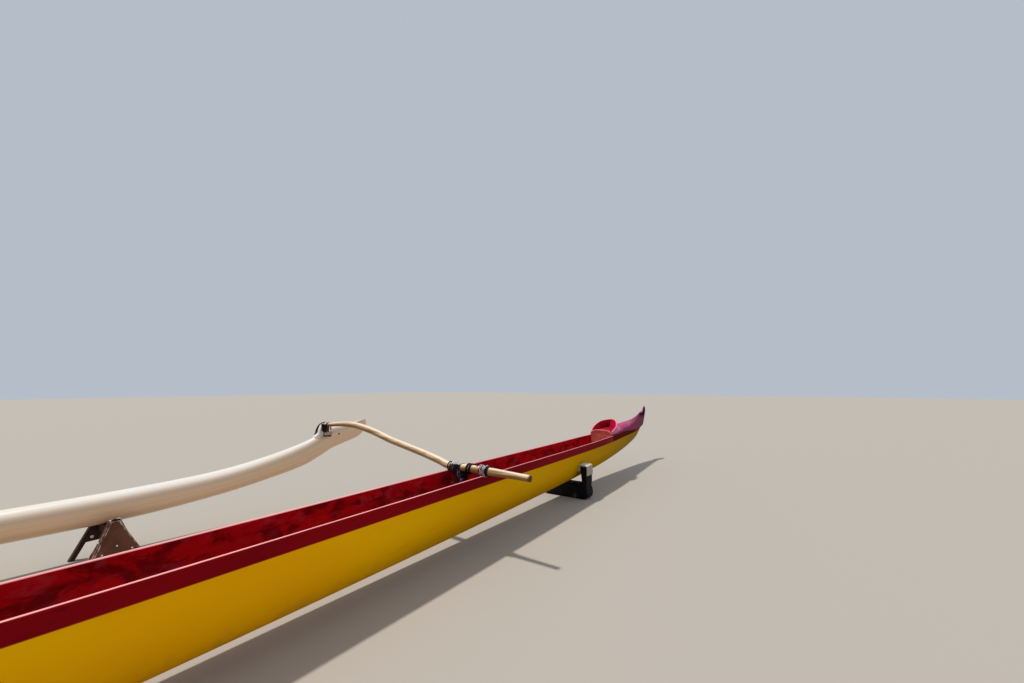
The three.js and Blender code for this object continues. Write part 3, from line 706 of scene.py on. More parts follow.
def build(name, points, faces):
    """A mesh object from points that are measured from the hull's centreline."""
    mesh = bpy.data.meshes.new(name)
    mesh.from_pydata((np.asarray(points, float) + (0, CENTRELINE, 0)).tolist(), [], faces)
    skin = bmesh.new()
    skin.from_mesh(mesh)
    bmesh.ops.remove_doubles(skin, verts=skin.verts, dist=1e-5)
    bmesh.ops.recalc_face_normals(skin, faces=skin.faces)
    skin.to_mesh(mesh)
    skin.free()
    return placed(name, mesh)


def loft(name, rings):
    """A closed body through rings of points, capped at both ends."""
    rings = np.asarray(rings, float)
    count, size = rings.shape[:2]
    faces = [(r * size + i, r * size + (i + 1) % size, (r + 1) * size + (i + 1) % size, (r + 1) * size + i)
             for r in range(count - 1) for i in range(size)]
    faces += [tuple(range(size)), tuple(range((count - 1) * size, count * size))]
    return build(name, rings.reshape(-1, 3), faces)


# %% [markdown]
# Many finishes need to know something about the shape: how high a point lies, how near to an edge, which way the
# surface faces. Such a number is worked out once for every point and stored as an attribute. The material reads it
# by its name.

# %% Marks for the finishes
def points_of(piece):
    """A piece's points, measured from the hull's centreline."""
    flat = np.empty(3 * len(piece.data.vertices))
    piece.data.vertices.foreach_get("co", flat)
    return flat.reshape(-1, 3) - (0, CENTRELINE, 0)


def distance_to_lines(points, lines):
    """How far each point lies from the nearest of a few straight lines."""
    nearest = np.full(len(points), np.inf)
    for start, stop in lines:
        span = stop - start
        t = np.clip((points - start) @ span / (span @ span), 0, 1)
        nearest = np.minimum(nearest, np.linalg.norm(points - start - np.outer(t, span), axis=1))
    return nearest


def mark(piece, name, values):
    """Gives every point of a piece a number that its finish can read. One number goes to all of them."""
    values = np.full(len(piece.data.vertices), values, np.float32)
    piece.data.attributes.new(name, "FLOAT", "POINT").data.foreach_set("value", values)


def mark_faces_up(piece):
    """Marks how far the surface faces up at each point: 1 for level, 0 for upright, less underneath."""
    mark(piece, "faces_up", [normal.vector.z for normal in piece.data.vertex_normals])


# %% [markdown]
# Modifiers are used as tools here: a piece goes in, and its finished mesh comes out. The last helper smooths what is
# smooth, keeps what is sharp, hangs the piece under the root and hides the solids that it replaces.

# %% Handing a piece over
def plain(piece):
    """Turns the result of a piece's modifiers into a plain mesh and removes them."""
    shown = piece.evaluated_get(bpy.context.evaluated_depsgraph_get())
    piece.data = bpy.data.meshes.new_from_object(shown)
    piece.modifiers.clear()
    return piece


def finished(piece, look, slot, *nodes, crease=35):
    """Smooths a piece, gives it its finish, and hands it to the frame in place of its solids."""
    piece.data.materials.clear()
    piece.data.materials.append(look.material)
    piece.data.shade_smooth()
    piece.data.set_sharp_from_angle(angle=math.radians(crease))
    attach(piece, "root")
    if nodes:
        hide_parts(*nodes)
    print(f"{piece.name}: {len(piece.data.polygons)} faces")
    return piece


print("mesh helpers are ready")

# %% [markdown]
# ## The hull's shape
#
# The hull is described by a few stations along its length, as a boatbuilder does: half the width, the height of the
# gunwale, the height of the keel, and how full the section is. A smooth curve runs through each column, and between
# them a section is a superellipse, which goes from a V to a U as one number grows.

# %% Stations
def table(names, rows):
    """A table as one array for each of its named columns. The first column is the one it runs along."""
    return {name: np.array(column) for name, column in zip(names.split(), zip(*rows))}


HULL = table("x beam sheer keel fullness", [
    (-6.300, 0.014, 0.676, 0.574, 1.80), (-6.060, 0.050, 0.658, 0.462, 1.85), (-5.770, 0.086, 0.648, 0.385, 1.95),
    (-5.120, 0.138, 0.640, 0.268, 2.15), (-4.200, 0.192, 0.630, 0.168, 2.40), (-3.100, 0.210, 0.614, 0.124, 2.55),
    (-1.550, 0.219, 0.596, 0.110, 2.60), (0.000, 0.222, 0.600, 0.121, 2.60), (1.550, 0.220, 0.612, 0.150, 2.60),
    (3.100, 0.213, 0.617, 0.192, 2.55), (4.200, 0.198, 0.627, 0.236, 2.40), (5.120, 0.138, 0.640, 0.306, 2.15),
    (5.770, 0.086, 0.648, 0.396, 1.95), (6.060, 0.050, 0.658, 0.464, 1.85), (6.300, 0.014, 0.676, 0.574, 1.80),
])
HULL_END = 6.300
COCKPIT_HALF = 4.450
GUNWALE_DEPTH = 0.085
GUNWALE_THICKNESS = 0.020
HULL_WALL = 0.012
SECTION_POINTS = 61  # odd, so that one of them lies on the keel
GAP = 0.0003  # between pieces that touch
ENDS = {"bow": 1, "stern": -1}
SIDES = {"port": 1, "starboard": -1}

print("the hull has", len(HULL["x"]), "stations over", 2 * HULL_END, "m")

# %% [markdown]
# Between two rows a column follows a cubic that starts and ends with the slope of its neighbours, so no kink shows at
# a station. `soft_step` is the same idea for a single rise from 0 to 1.

# %% Smooth curves
def smooth_at(columns, name, x):
    """A column at a place x of the first one, on a smooth curve through the table's rows."""
    xs, values = next(iter(columns.values())), columns[name]
    before, after = np.maximum(np.arange(len(xs)) - 1, 0), np.minimum(np.arange(len(xs)) + 1, len(xs) - 1)
    slope = (values[after] - values[before]) / (xs[after] - xs[before])
    x = np.clip(x, xs[0], xs[-1])
    i = np.clip(np.searchsorted(xs, x, side="right") - 1, 0, len(xs) - 2)
    span = xs[i + 1] - xs[i]
    t = (x - xs[i]) / span
    return ((2 * t ** 3 - 3 * t ** 2 + 1) * values[i] + (t ** 3 - 2 * t ** 2 + t) * span * slope[i]
            + (3 * t ** 2 - 2 * t ** 3) * values[i + 1] + (t ** 3 - t ** 2) * span * slope[i + 1])


def smooth_rows(rows, first, count):
    """Many rows on smooth curves through a few, from row `first` on. Their first four numbers measure the way."""
    rows = np.asarray(rows, float)
    way = np.concatenate([[0], np.cumsum(np.linalg.norm(np.diff(rows[:, :4], axis=0), axis=1))])
    columns = {"way": way, **{str(i): column for i, column in enumerate(rows.T)}}
    return [[smooth_at(columns, str(i), place) for i in range(rows.shape[1])]
            for place in np.linspace(way[first], way[-1], count)]


def soft_step(values, low, high):
    """0 below low and 1 above high with a smooth rise, or the other way round."""
    t = np.clip((np.asarray(values, float) - low) / (high - low), 0, 1)
    return t * t * (3 - 2 * t)


slope = {"x": np.array([0, 1]), "y": np.array([0, 1])}
print("halfway between two rows of 0 and 1:", round(float(smooth_at(slope, "y", 0.5)), 2))

# %% [markdown]
# A section starts and ends a little below the gunwale, because the red strakes sit on top of the yellow shell. With
# an inset the same formula gives the inner face of the wall.

# %% Sections
def gunwale_height(x):
    return smooth_at(HULL, "sheer", x)


def hull_curve(x, drop=GUNWALE_DEPTH, inset=0.0):
    """The hull's section at x from port to starboard, below a level that is `drop` under the gunwale."""
    beam = max(smooth_at(HULL, "beam", x) - inset, 0.001)
    sheer = gunwale_height(x)
    depth = sheer - smooth_at(HULL, "keel", x) - inset
    power = 2 / smooth_at(HULL, "fullness", x)
    start = math.asin(min(drop / depth, 1) ** (1 / power))
    angle = np.linspace(start, math.pi - start, SECTION_POINTS)
    y = beam * squarish(np.cos(angle), power)
    z = sheer - depth * np.abs(np.sin(angle)) ** power
    return np.column_stack([np.full(SECTION_POINTS, x), y, z])


def half_width(curve, z):
    """Half the width of a section at height z."""
    port = curve[SECTION_POINTS // 2::-1]
    return float(np.interp(z, port[:, 2], port[:, 1]))


print("midships the hull is", round(2 * float(smooth_at(HULL, "beam", 0)), 3), "m wide and its keel",
      round(float(smooth_at(HULL, "keel", 0)), 3), "m up")

# %% [markdown]
# ## Hull shell
#
# The yellow shell is a loft of U-shaped rings: down the outside, back up the inside. At each end the last rings
# shrink quickly round a quarter circle, so the stem is a small rounded nose and not a cut edge.

# %% Hull shell
SHELL_SKIN = 0.006
NOSE_LENGTH = 0.034
STEM_RISE = 0.41  # slope of the horn's underside where the hull ends
SHELL_RINGS = 253

rings = []
for x in np.linspace(-HULL_END, HULL_END, SHELL_RINGS):
    rings.append(np.vstack([hull_curve(x), hull_curve(x, inset=SHELL_SKIN)[::-1]]))


def nose(ring, end):
    """The rings that round off one end of the shell."""
    root = np.array([end * HULL_END, 0, ring[0, 2]])
    for angle in np.radians([25, 45, 62, 76, 86]):
        step = NOSE_LENGTH * math.sin(angle)
        yield root + (ring - root) * math.cos(angle) + (end * step, 0, STEM_RISE * step)


rings = [*list(nose(rings[0], -1))[::-1], *rings, *nose(rings[-1], 1)]
shell = loft("hull_shell", rings)
finished(shell, hull_yellow, "hull_yellow", "hull", crease=50)

# %% [markdown]
# The red lining is a second skin inside the open part. It grows thicker just under the gunwale until it is flush with
# the strake's inner face, as the real laminate does where the strake was bonded on.

# %% Hull lining
LINING_RINGS = 181
LINING_FLARE = 0.060  # height below the strake over which the lining grows thicker


def lining_curve(x):
    """The inner face of the hull at x, flush with the gunwale at its top."""
    curve = hull_curve(x, inset=HULL_WALL)
    under = gunwale_height(x) - curve[:, 2]
    extra = (GUNWALE_THICKNESS - HULL_WALL) * soft_step(under, GUNWALE_DEPTH + LINING_FLARE, GUNWALE_DEPTH)
    curve[:, 1] -= np.sign(curve[:, 1]) * extra
    return curve


rings = []
for x in np.linspace(-COCKPIT_HALF, COCKPIT_HALF, LINING_RINGS):
    rings.append(np.vstack([hull_curve(x, inset=SHELL_SKIN + GAP), lining_curve(x)[::-1]]))
lining = loft("hull_lining", rings)
finished(lining, inside_red, "gunwale_red", crease=50)

# %% [markdown]
# ## Gunwale strakes
#
# A strake stands a hair proud of the hull, which gives the thin line between red and yellow, and its top is rolled
# over. It was faired by hand, so its edges wander by about a millimetre. Two slow sine waves with lengths that don't
# fit into each other are enough for that.

# %% Gunwales
PROUD = 0.0018
EDGE_ROLL = 0.0085
WANDER = 0.0011
GUNWALE_RINGS = 241


def gunwale_ring(x, side):
    foot = hull_curve(x)[0]
    low, high = foot[2] + GAP, gunwale_height(x)
    drift = WANDER * (math.sin(1.7 * x + side) + math.sin(4.3 * x + 2 * side)) / 2
    outer, inner = smooth_at(HULL, "beam", x) + PROUD + drift, smooth_at(HULL, "beam", x) - GUNWALE_THICKNESS
    arc = np.linspace(0, math.pi / 2, 6)
    face = [(foot[1] + PROUD + drift + (outer - foot[1] - PROUD - drift) * t, low + 0.003 + (high - low - 0.012) * t)
            for t in np.linspace(0, 1, 5)]
    over = [(outer - EDGE_ROLL + EDGE_ROLL * math.cos(a), high - EDGE_ROLL + EDGE_ROLL * math.sin(a)) for a in arc]
    back = [(inner + EDGE_ROLL - EDGE_ROLL * math.sin(a), high - EDGE_ROLL + EDGE_ROLL * math.cos(a)) for a in arc]
    section = [(foot[1] - 0.002, low), *face, *over[1:], *back, (foot[1] - GUNWALE_THICKNESS, low)]
    return [(x, side * y, z) for y, z in section]


for place, side in SIDES.items():
    rings = [gunwale_ring(x, side) for x in np.linspace(-COCKPIT_HALF, COCKPIT_HALF, GUNWALE_RINGS)]
    strake = loft(f"gunwale_strake_{place}", rings)
    where = points_of(strake)
    mark(strake, "up", (where[:, 2] - gunwale_height(where[:, 0])) / GUNWALE_DEPTH + 1)
    mark(strake, "inner", np.abs(where[:, 1]) < smooth_at(HULL, "beam", where[:, 0]) - GUNWALE_THICKNESS * 0.8)
    finished(strake, gunwale_red, "gunwale_red", f"gunwale_{place}", crease=40)

# %% [markdown]
# ## End pieces
#
# Each end piece is a crowned cover over the last two metres of hull that sweeps up into a slim horn. Its rings stand
# upright on the hull and then lean back as they climb the horn, so a ring is given by its foot, its head and its
# width. The rows below are turned into closely spaced rings by the same smooth curve as the hull's.

# %% Rows of the end pieces
RIDGE = table("x head lean crown", [
    (4.450, 0.706, 0.000, 3.4), (4.720, 0.718, 0.020, 3.1), (5.120, 0.738, 0.050, 2.7), (5.480, 0.752, 0.080, 2.6),
    (5.770, 0.768, 0.090, 2.6), (6.000, 0.804, 0.090, 2.5), (6.170, 0.843, 0.075, 2.4), (6.300, 0.882, 0.070, 2.3),
])
HORN_ROWS = [  # foot x, foot z, head x, head z, half width, crown
    (6.420, 0.640, 6.448, 0.912, 0.022, 2.2), (6.510, 0.740, 6.470, 0.948, 0.021, 2.2),
    (6.580, 0.840, 6.500, 0.970, 0.020, 2.2), (6.618, 0.905, 6.545, 0.978, 0.017, 2.2),
    (6.630, 0.945, 6.596, 0.975, 0.009, 2.2),
]
HIGHLIGHT_LINE = [(6.390, 0.889), (6.448, 0.912), (6.470, 0.948), (6.500, 0.970), (6.530, 0.977)]  # x, z up the horn
COVER_STEPS = 64
HORN_STEPS = 40
BAND_DEPTH = 0.085  # height of the dark band at the cockpit, which narrows to almost nothing at the horn


def cover_row(x):
    """Foot, head, half width and squareness of the end piece at x."""
    edge = hull_curve(x)[0]
    return (x, edge[2] + GAP, x + smooth_at(RIDGE, "lean", x), smooth_at(RIDGE, "head", x), edge[1],
            smooth_at(RIDGE, "crown", x))


cover_rows = [cover_row(x) for x in np.linspace(COCKPIT_HALF + GAP, HULL_END, COVER_STEPS)]
horn_rows = smooth_rows([*cover_rows[-6::5], *HORN_ROWS], 1, HORN_STEPS)[1:]
print(len(cover_rows), "rings on the hull and", len(horn_rows), "up the horn, to z =",
      round(float(horn_rows[-1][3]), 3))

# %% [markdown]
# A ring is half a superellipse that stands on the hull's edge. On the horn it closes underneath too, since there is
# no hull below it any more. The last rings shrink, so that the tip is round. The marks tell the finish where the
# dark band, the sheltered part and the painted highlight on the back edge lie.

# %% End pieces
COVER_POINTS = 72
HORN_CLOSES = (6.31, 6.46)  # between these two places the ring closes underneath
BELLY = 0.075  # how far the horn's front is rounded, as a share of its height
BAND_FADES = (4.9, 6.4)  # between these two places the band narrows
SHELTER_POINT, SHELTER_LENGTH, SHELTER_HALF = 4.800, 0.330, 0.142  # the wedge between the splash guard's wings
HIGHLIGHT_REACH = 0.05


def cover_ring(row, end, squeeze=1.0):
    foot_x, foot, head_x, head, width, crown = row
    angle = circle(COVER_POINTS)
    out, rise = squarish(np.cos(angle), 2 / crown), squarish(np.sin(angle), 2 / crown)
    closed = soft_step(foot_x, *HORN_CLOSES)
    rise = np.where(rise < 0, rise * (BELLY * closed), rise)
    middle = 0.5 * closed
    rise = middle + (rise - middle) * squeeze
    x = foot_x + rise * (head_x - foot_x)
    z = foot + rise * (head - foot)
    return np.column_stack([end * x, squeeze * out * width, z])


def end_piece(end, name):
    rings = [cover_ring(row, end) for row in cover_rows + horn_rows]
    tip = horn_rows[-1]
    for forward, squeeze in ((0.004, 0.85), (0.007, 0.6), (0.009, 0.25)):
        moved = (tip[0] + forward, tip[1] + forward, tip[2] + forward, tip[3] + forward, *tip[4:])
        rings.append(cover_ring(moved, end, squeeze))
    piece = loft(f"{name}_cover", rings)
    where = points_of(piece)
    reach = np.abs(where[:, 0])
    foot = gunwale_height(where[:, 0]) - GUNWALE_DEPTH
    depth = BAND_DEPTH * (1 - 0.93 * soft_step(reach, *BAND_FADES))
    mark(piece, "band", np.clip((where[:, 2] - foot) / depth, 0, 4) + 4 * (reach > 6.42))
    mark(piece, "sheltered", np.abs(where[:, 1]) < SHELTER_HALF * (SHELTER_POINT - reach) / SHELTER_LENGTH)
    back_edge = np.array([(end * x, 0, z) for x, z in HIGHLIGHT_LINE])
    # Marks the horn's back edge for its painted highlight.
    mark(piece, "back", 1 - distance_to_lines(where, [*zip(back_edge[:-1], back_edge[1:])]) / HIGHLIGHT_REACH)
    mark_faces_up(piece)
    finished(piece, deck_red, "deck_red", f"{name}_end_piece", crease=60)


for name, end in ENDS.items():
    end_piece(end, name)

# %% [markdown]
# Bulkheads and splash guards have to meet the covers exactly. This gives the cover's surface at any place, from the
# same rows as the cover itself, so nothing has to be fitted by eye.

# %% Height of a cover
def cover_height(x, y):
    """The cover's surface at a distance x from midships and y from the centreline."""
    foot = gunwale_height(x) - GUNWALE_DEPTH
    back = x - smooth_at(RIDGE, "lean", x)
    crown = smooth_at(RIDGE, "crown", back)
    across = min(abs(y) / hull_curve(x)[0, 1], 1)
    return float(foot + (smooth_at(RIDGE, "head", back) - foot) * (1 - across ** crown) ** (1 / crown))


print("the cover is", round(cover_height(COCKPIT_HALF, 0), 3), "m up at the cockpit")

# %% [markdown]
# ## Flat pieces and bars
#
# The rest of the canoe is mostly boards and bars. A board is an outline made thick along one axis. Its edges are
# bevelled, because no real edge is perfectly sharp and only a round one catches the light.

# %% Prisms and bevels
def prism(name, outline, low, high, axis):
    """A flat outline made thick between low and high along one axis, 0 for X, 1 for Y or 2 for Z."""
    count = len(outline)
    points = [np.insert(np.asarray(corner, float), axis, level) for level in (low, high) for corner in outline]
    faces = [tuple(range(count)), tuple(range(count, 2 * count))]
    faces += [(i, (i + 1) % count, count + (i + 1) % count, count + i) for i in range(count)]
    return build(name, points, faces)


BEVEL_SEGMENTS = 3
BEVEL_FROM = math.radians(30)  # flatter edges stay as they are


def bevelled(piece, width):
    edges = piece.modifiers.new("edges", "BEVEL")
    edges.width, edges.segments = width, BEVEL_SEGMENTS
    edges.limit_method, edges.angle_limit = "ANGLE", BEVEL_FROM
    return plain(piece)

# %% [markdown]
# A bar, a cord's end or a strap is a ring carried along a path. At each point the ring stands across the way ahead,
# and `up` keeps it from twisting. Both ends are closed with a few smaller rings.

# %% Tubes
TUBE_CAP = [(0.35, 0.95), (0.7, 0.72), (0.93, 0.36)]  # how wide and how far out the rings that round an end are


def tube(name, path, radius, sides=12, flat=1.0, up=(0, 0, 1)):
    """A round bar along a path, or a flattened one, with rounded ends. radius may change along it."""
    path = np.asarray(path, float)
    radius = np.broadcast_to(np.asarray(radius, float), len(path))
    ahead = unit(np.gradient(path, axis=0))
    across = unit(np.cross(ahead, np.broadcast_to(up, ahead.shape)))
    above = np.cross(across, ahead)
    angle = circle(sides)

    def ring(i, scale, shift):
        size = radius[i] * scale
        return (path[i] + ahead[i] * shift + np.outer(np.cos(angle) * size, across[i])
                + np.outer(np.sin(angle) * size * flat, above[i]))

    last = len(path) - 1
    rings = [ring(0, scale, -shift * radius[0] * 0.5) for scale, shift in TUBE_CAP]
    rings += [ring(i, 1, 0) for i in range(last + 1)]
    rings += [ring(last, scale, shift * radius[last] * 0.5) for scale, shift in TUBE_CAP[::-1]]
    return loft(name, rings)


print("prisms, bevels and tubes are ready")

# %% [markdown]
# ## Bulkheads
#
# A bulkhead closes each cover's cockpit end. It is a flat panel with an arched top that follows the cover, finished
# with a rounded bead. The panel is an outline made thick along X and bevelled; the bead is a tube along the arch.

# %% Bulkheads
BULKHEAD_THICKNESS = 0.018
BEAD_RADIUS = 0.007

for name, end in ENDS.items():
    x = end * COCKPIT_HALF
    inner = float(smooth_at(HULL, "beam", x)) - GUNWALE_THICKNESS - 0.0005
    arch = np.array([(y, cover_height(COCKPIT_HALF, y) - 0.003) for y in inner * np.cos(np.linspace(0, math.pi, 41))])
    below = lining_curve(x - end * BULKHEAD_THICKNESS)[::-1, 1:] * (0.998, 1)
    face = x - end * BULKHEAD_THICKNESS
    panel = bevelled(prism(f"{name}_bulkhead_panel", [*arch, *below], min(face, x), max(face, x), 0), 0.002)
    finished(panel, bulkhead_salmon, "bulkhead_salmon", f"{name}_bulkhead")
    bead_path = [(face, y, z - 0.001) for y, z in arch]
    bead = tube(f"{name}_bulkhead_bead", bead_path, BEAD_RADIUS, up=(1, 0, 0))
    mark(bead, "up", 1)
    finished(bead, gunwale_red, "gunwale_red")

# %% [markdown]
# ## Splash guards
#
# A guard is one moulded sheet, bent into a V with its point forward. Its foot runs nearly straight from the point to
# the cockpit's edge, but its rim bows out past the hull's side, so each wing leans outwards like the flare of a bow.
# The rows give the foot, which is buried in the cover, and the rim. Between the two the sheet is curved: steep at its
# foot, lying back at its rim.

# %% Splash guards
GUARD_ROWS = [  # foot x, y, z and rim x, y, z of the port wing, from its aft end to the point
    (4.474, 0.138, 0.658, 4.462, 0.166, 0.678), (4.481, 0.131, 0.666, 4.500, 0.173, 0.704),
    (4.519, 0.104, 0.679, 4.552, 0.178, 0.724), (4.579, 0.072, 0.686, 4.620, 0.174, 0.752),
    (4.654, 0.046, 0.693, 4.700, 0.147, 0.793), (4.723, 0.020, 0.697, 4.770, 0.110, 0.817),
    (4.763, 0.005, 0.701, 4.850, 0.058, 0.829), (4.780, 0.000, 0.703, 4.922, 0.000, 0.832),
]
GUARD_HALF_SHEET = 0.0055
GUARD_STEPS = 56
FLARE = (0.14, 0.14, 0.72)  # where the section's curve is pulled to, between foot and rim, along x, y and z


def guard_ring(row, ahead, half):
    """A section of a wing whose rim runs along `ahead`: up its outer face, over the rim, down its inner face."""
    foot, rim = np.array(row[:3]), np.array(row[3:])
    pull = foot + (rim - foot) * FLARE
    t = np.linspace(0, 1, 11)[:, None]
    middle = (1 - t) ** 2 * foot + 2 * t * (1 - t) * pull + t ** 2 * rim
    rise = np.gradient(middle, axis=0)
    out = unit(np.cross(ahead, rise)) * half
    over = rise[-1] / np.linalg.norm(rise[-1]) * GUARD_HALF_SHEET
    edge = [middle[-1] + out[-1] * math.cos(a) + over * math.sin(a) for a in np.linspace(0, math.pi, 9)[1:-1]]
    return np.array([*(middle + out), *edge, *(middle - out)[::-1]])


def guard_rings(end):
    wing = np.array(smooth_rows(GUARD_ROWS, 0, GUARD_STEPS))
    ahead = np.gradient(wing[:, 3:], axis=0)
    port = [guard_ring(row, way, GUARD_HALF_SHEET) for row, way in zip(wing[:-1], ahead)]
    mitre = ahead[-2] / np.linalg.norm(ahead[-2])
    point = guard_ring(wing[-1], (0, -1, 0), GUARD_HALF_SHEET / abs(mitre[1]))
    rings = [*port, point, *[ring * (1, -1, 1) for ring in port[::-1]]]
    return np.array(rings) * (end, 1, 1), wing[:, 3:] * (end, 1, 1)


for name, end in ENDS.items():
    rings, rim = guard_rings(end)
    guard = loft(f"{name}_splash_guard_sheet", rings)
    rim_lines = [*zip(rim[:-1], rim[1:])]
    at = points_of(guard)
    # Marks the starboard wing for its painted sunlight.
    mark(guard, "sunny", soft_step(at[:, 1], 0.002, -0.002))
    at[:, 1] = np.abs(at[:, 1])
    mark(guard, "up", 1.03 - distance_to_lines(at, rim_lines) / 0.2)
    finished(guard, guard_red, "gunwale_red", f"{name}_splash_guard", crease=50)

# %% [markdown]
# ## Boards with worn edges
#
# Boards need two things: small faces, so that a number per point can follow an edge, and that number. `board` keeps
# the sharp edges of the raw outline, bevels it, cuts it into small triangles, and then measures how far each point
# lies from the nearest of those edges.

# %% Boards
SHARP = math.radians(40)  # edges that bend by more than this get worn
SLIVER = 0.00005  # faces thinner than this are dissolved


def edge_lines(piece):
    """The sharp edges of a piece, as pairs of points measured from the hull's centreline."""
    skin = bmesh.new()
    skin.from_mesh(piece.data)
    lines = [[v.co[:] for v in edge.verts] for edge in skin.edges if edge.calc_face_angle(0) > SHARP]
    skin.free()
    return np.array(lines) - (0, CENTRELINE, 0)


def cut_small(piece, longest):
    """Cuts a piece's faces until no edge is longer than `longest`, and dissolves the slivers that this leaves."""
    skin = bmesh.new()
    skin.from_mesh(piece.data)
    bmesh.ops.triangulate(skin, faces=skin.faces)
    for _ in range(7):
        long_edges = [edge for edge in skin.edges if edge.calc_length() > longest]
        if not long_edges:
            break
        bmesh.ops.subdivide_edges(skin, edges=long_edges, cuts=1, use_grid_fill=True)
        bmesh.ops.triangulate(skin, faces=[face for face in skin.faces if len(face.verts) > 3])
    bmesh.ops.dissolve_degenerate(skin, dist=SLIVER, edges=skin.edges)
    skin.to_mesh(piece.data)
    skin.free()


def board(name, outline, low, high, axis, bevel=0.003, grain=0.022, wear_reach=0.012):
    """A bevelled board cut into small faces, with its edges marked for wear."""
    piece = prism(name, outline, low, high, axis)
    lines = edge_lines(piece)
    bevelled(piece, bevel)
    cut_small(piece, grain)
    mark(piece, "edge", np.clip(1 - distance_to_lines(points_of(piece), lines) / wear_reach, 0, 1))
    return piece


print("boards are ready")

# %% [markdown]
# ## Seats
#
# Six boards cross the hull between the booms and behind them. Each is shaped to the lining at its ends and rests on
# two cleats. The outline is the hull's own half-width at the seat's height, taken at both edges of the board.

# %% Seats
BOOM_X = {"front": 1.409, "rear": -1.470}
SEAT_PITCH = 0.960
SEAT_LENGTH = 0.210
SEAT_THICKNESS = 0.022
SEAT_DROP = 0.185
CLEAT_HEIGHT = 0.030


def room_at(x, z):
    """Half the width between the linings at x and height z."""
    return half_width(lining_curve(x), z)


for number in range(1, 7):
    x = BOOM_X["front"] + (1.5 - number) * SEAT_PITCH
    top = float(gunwale_height(x)) - SEAT_DROP
    ends = np.linspace(x - SEAT_LENGTH / 2, x + SEAT_LENGTH / 2, 9)
    port = [(along, room_at(along, top - SEAT_THICKNESS) - 0.001) for along in ends]
    starboard = [(along, -y) for along, y in port[::-1]]
    seat = board(f"seat_board_{number}", port + starboard, top - SEAT_THICKNESS, top, 2, bevel=0.006)
    finished(seat, seat_red, "seat_red", f"seat_{number}")
    for place, side in SIDES.items():
        low = top - SEAT_THICKNESS - CLEAT_HEIGHT
        cleat = [(along, side * (room_at(along, low) + reach))
                 for reach, span in ((0.003, ends), (-0.026, ends[::-1])) for along in span]
        rest = board(f"seat_cleat_{number}_{place}", cleat, low, top - SEAT_THICKNESS - GAP, 2)
        finished(rest, seat_red, "seat_red")

# %% [markdown]
# ## Repeating things with Geometry Nodes
#
# A lashing is the same loop of cord laid again and again beside itself, and bolts are the same head at many places.
# Geometry Nodes is made for that. These helpers start a tree with named inputs, close it, and run it on a small mesh
# that says where things go.

# %% Starting and running a tree
def geometry_tree(name, inputs):
    """A new Geometry Nodes group with named inputs. Returns the tree and its input signals by name."""
    group = bpy.data.node_groups.new(name, "GeometryNodeTree")
    group.interface.new_socket("Geometry", in_out="INPUT", socket_type="NodeSocketGeometry")
    group.interface.new_socket("Geometry", in_out="OUTPUT", socket_type="NodeSocketGeometry")
    for label, kind in inputs.items():
        group.interface.new_socket(label, in_out="INPUT", socket_type="NodeSocket" + kind)
    tree = Tree(group)
    entry = group.nodes.new("NodeGroupInput")
    return tree, {socket.name: Signal(tree, socket) for socket in entry.outputs if socket.name}


def end_tree(tree, geometry, material):
    """Makes instances real, sets the material and wires up the output."""
    real = tree.node("GeometryNodeRealizeInstances", inputs={"Geometry": geometry})
    shown = tree.node("GeometryNodeSetMaterial", inputs={"Geometry": real, "Material": material})
    tree.nodes.links.new(shown.socket, tree.nodes.nodes.new("NodeGroupOutput").inputs[0])
    return tree.nodes


def run_tree(name, edges, group, values):
    """A piece made by a tree from a ring or a set of edges. The tree's inputs are set by identifier."""
    points, lines, faces = edges
    mesh = bpy.data.meshes.new(name)
    mesh.from_pydata(np.asarray(points, float).tolist(), lines, faces)
    piece = placed(name, mesh)
    nodes = piece.modifiers.new("made", "NODES")
    nodes.node_group = group
    identifiers = {item.name: item.identifier for item in group.interface.items_tree if item.in_out == "INPUT"}
    for label, value in values.items():
        nodes[identifiers[label]] = value
    return plain(piece)


print("geometry trees can be written")

# %% [markdown]
# The first tree takes a loop drawn once as a ring of edges, lays copies of it along a line with a little looseness,
# gives each a round section, and makes real geometry of the result. It also stores how far along the cord each point
# is and how far round it, for the finish.

# %% A tree that lays turns of cord
tree, given = geometry_tree("cord_turns", {
    "Turns": "Int", "Start": "Vector", "Step": "Vector", "Cord Radius": "Float", "Looseness": "Float",
    "Seed": "Int", "Material": "Material",
})
loop = tree.node("GeometryNodeMeshToCurve", inputs={"Mesh": given["Geometry"]})
length = tree.node("GeometryNodeSplineParameter", out="Length")
round_it = tree.node("GeometryNodeSplineParameter", out="Factor")
loop = tree.node("GeometryNodeStoreNamedAttribute", {"data_type": "FLOAT", "domain": "POINT"},
                 {"Geometry": loop, "Name": "run", "Value": length})
line = tree.node("GeometryNodeMeshLine", {"mode": "OFFSET"},
                 {"Count": given["Turns"], "Start Location": given["Start"], "Offset": given["Step"]})
sway = tree.node("FunctionNodeRandomValue", {"data_type": "FLOAT_VECTOR"},
                 {"Min": (-1, -1, -1), "Max": (1, 1, 1), "Seed": given["Seed"]})
sway = tree.node("ShaderNodeVectorMath", {"operation": "SCALE"}, {0: sway, "Scale": given["Looseness"]})
line = tree.node("GeometryNodeSetPosition", inputs={"Geometry": line, "Offset": sway})
tilt = tree.node("FunctionNodeRandomValue", {"data_type": "FLOAT_VECTOR"},
                 {"Min": (-0.05, -0.02, -0.07), "Max": (0.05, 0.02, 0.07), "Seed": given["Seed"] + 1})
turns = tree.node("GeometryNodeInstanceOnPoints", inputs={"Points": line, "Instance": loop, "Rotation": tilt})
turns = tree.node("GeometryNodeRealizeInstances", inputs={"Geometry": turns})
section = tree.node("GeometryNodeCurvePrimitiveCircle", inputs={"Resolution": 10, "Radius": given["Cord Radius"]})
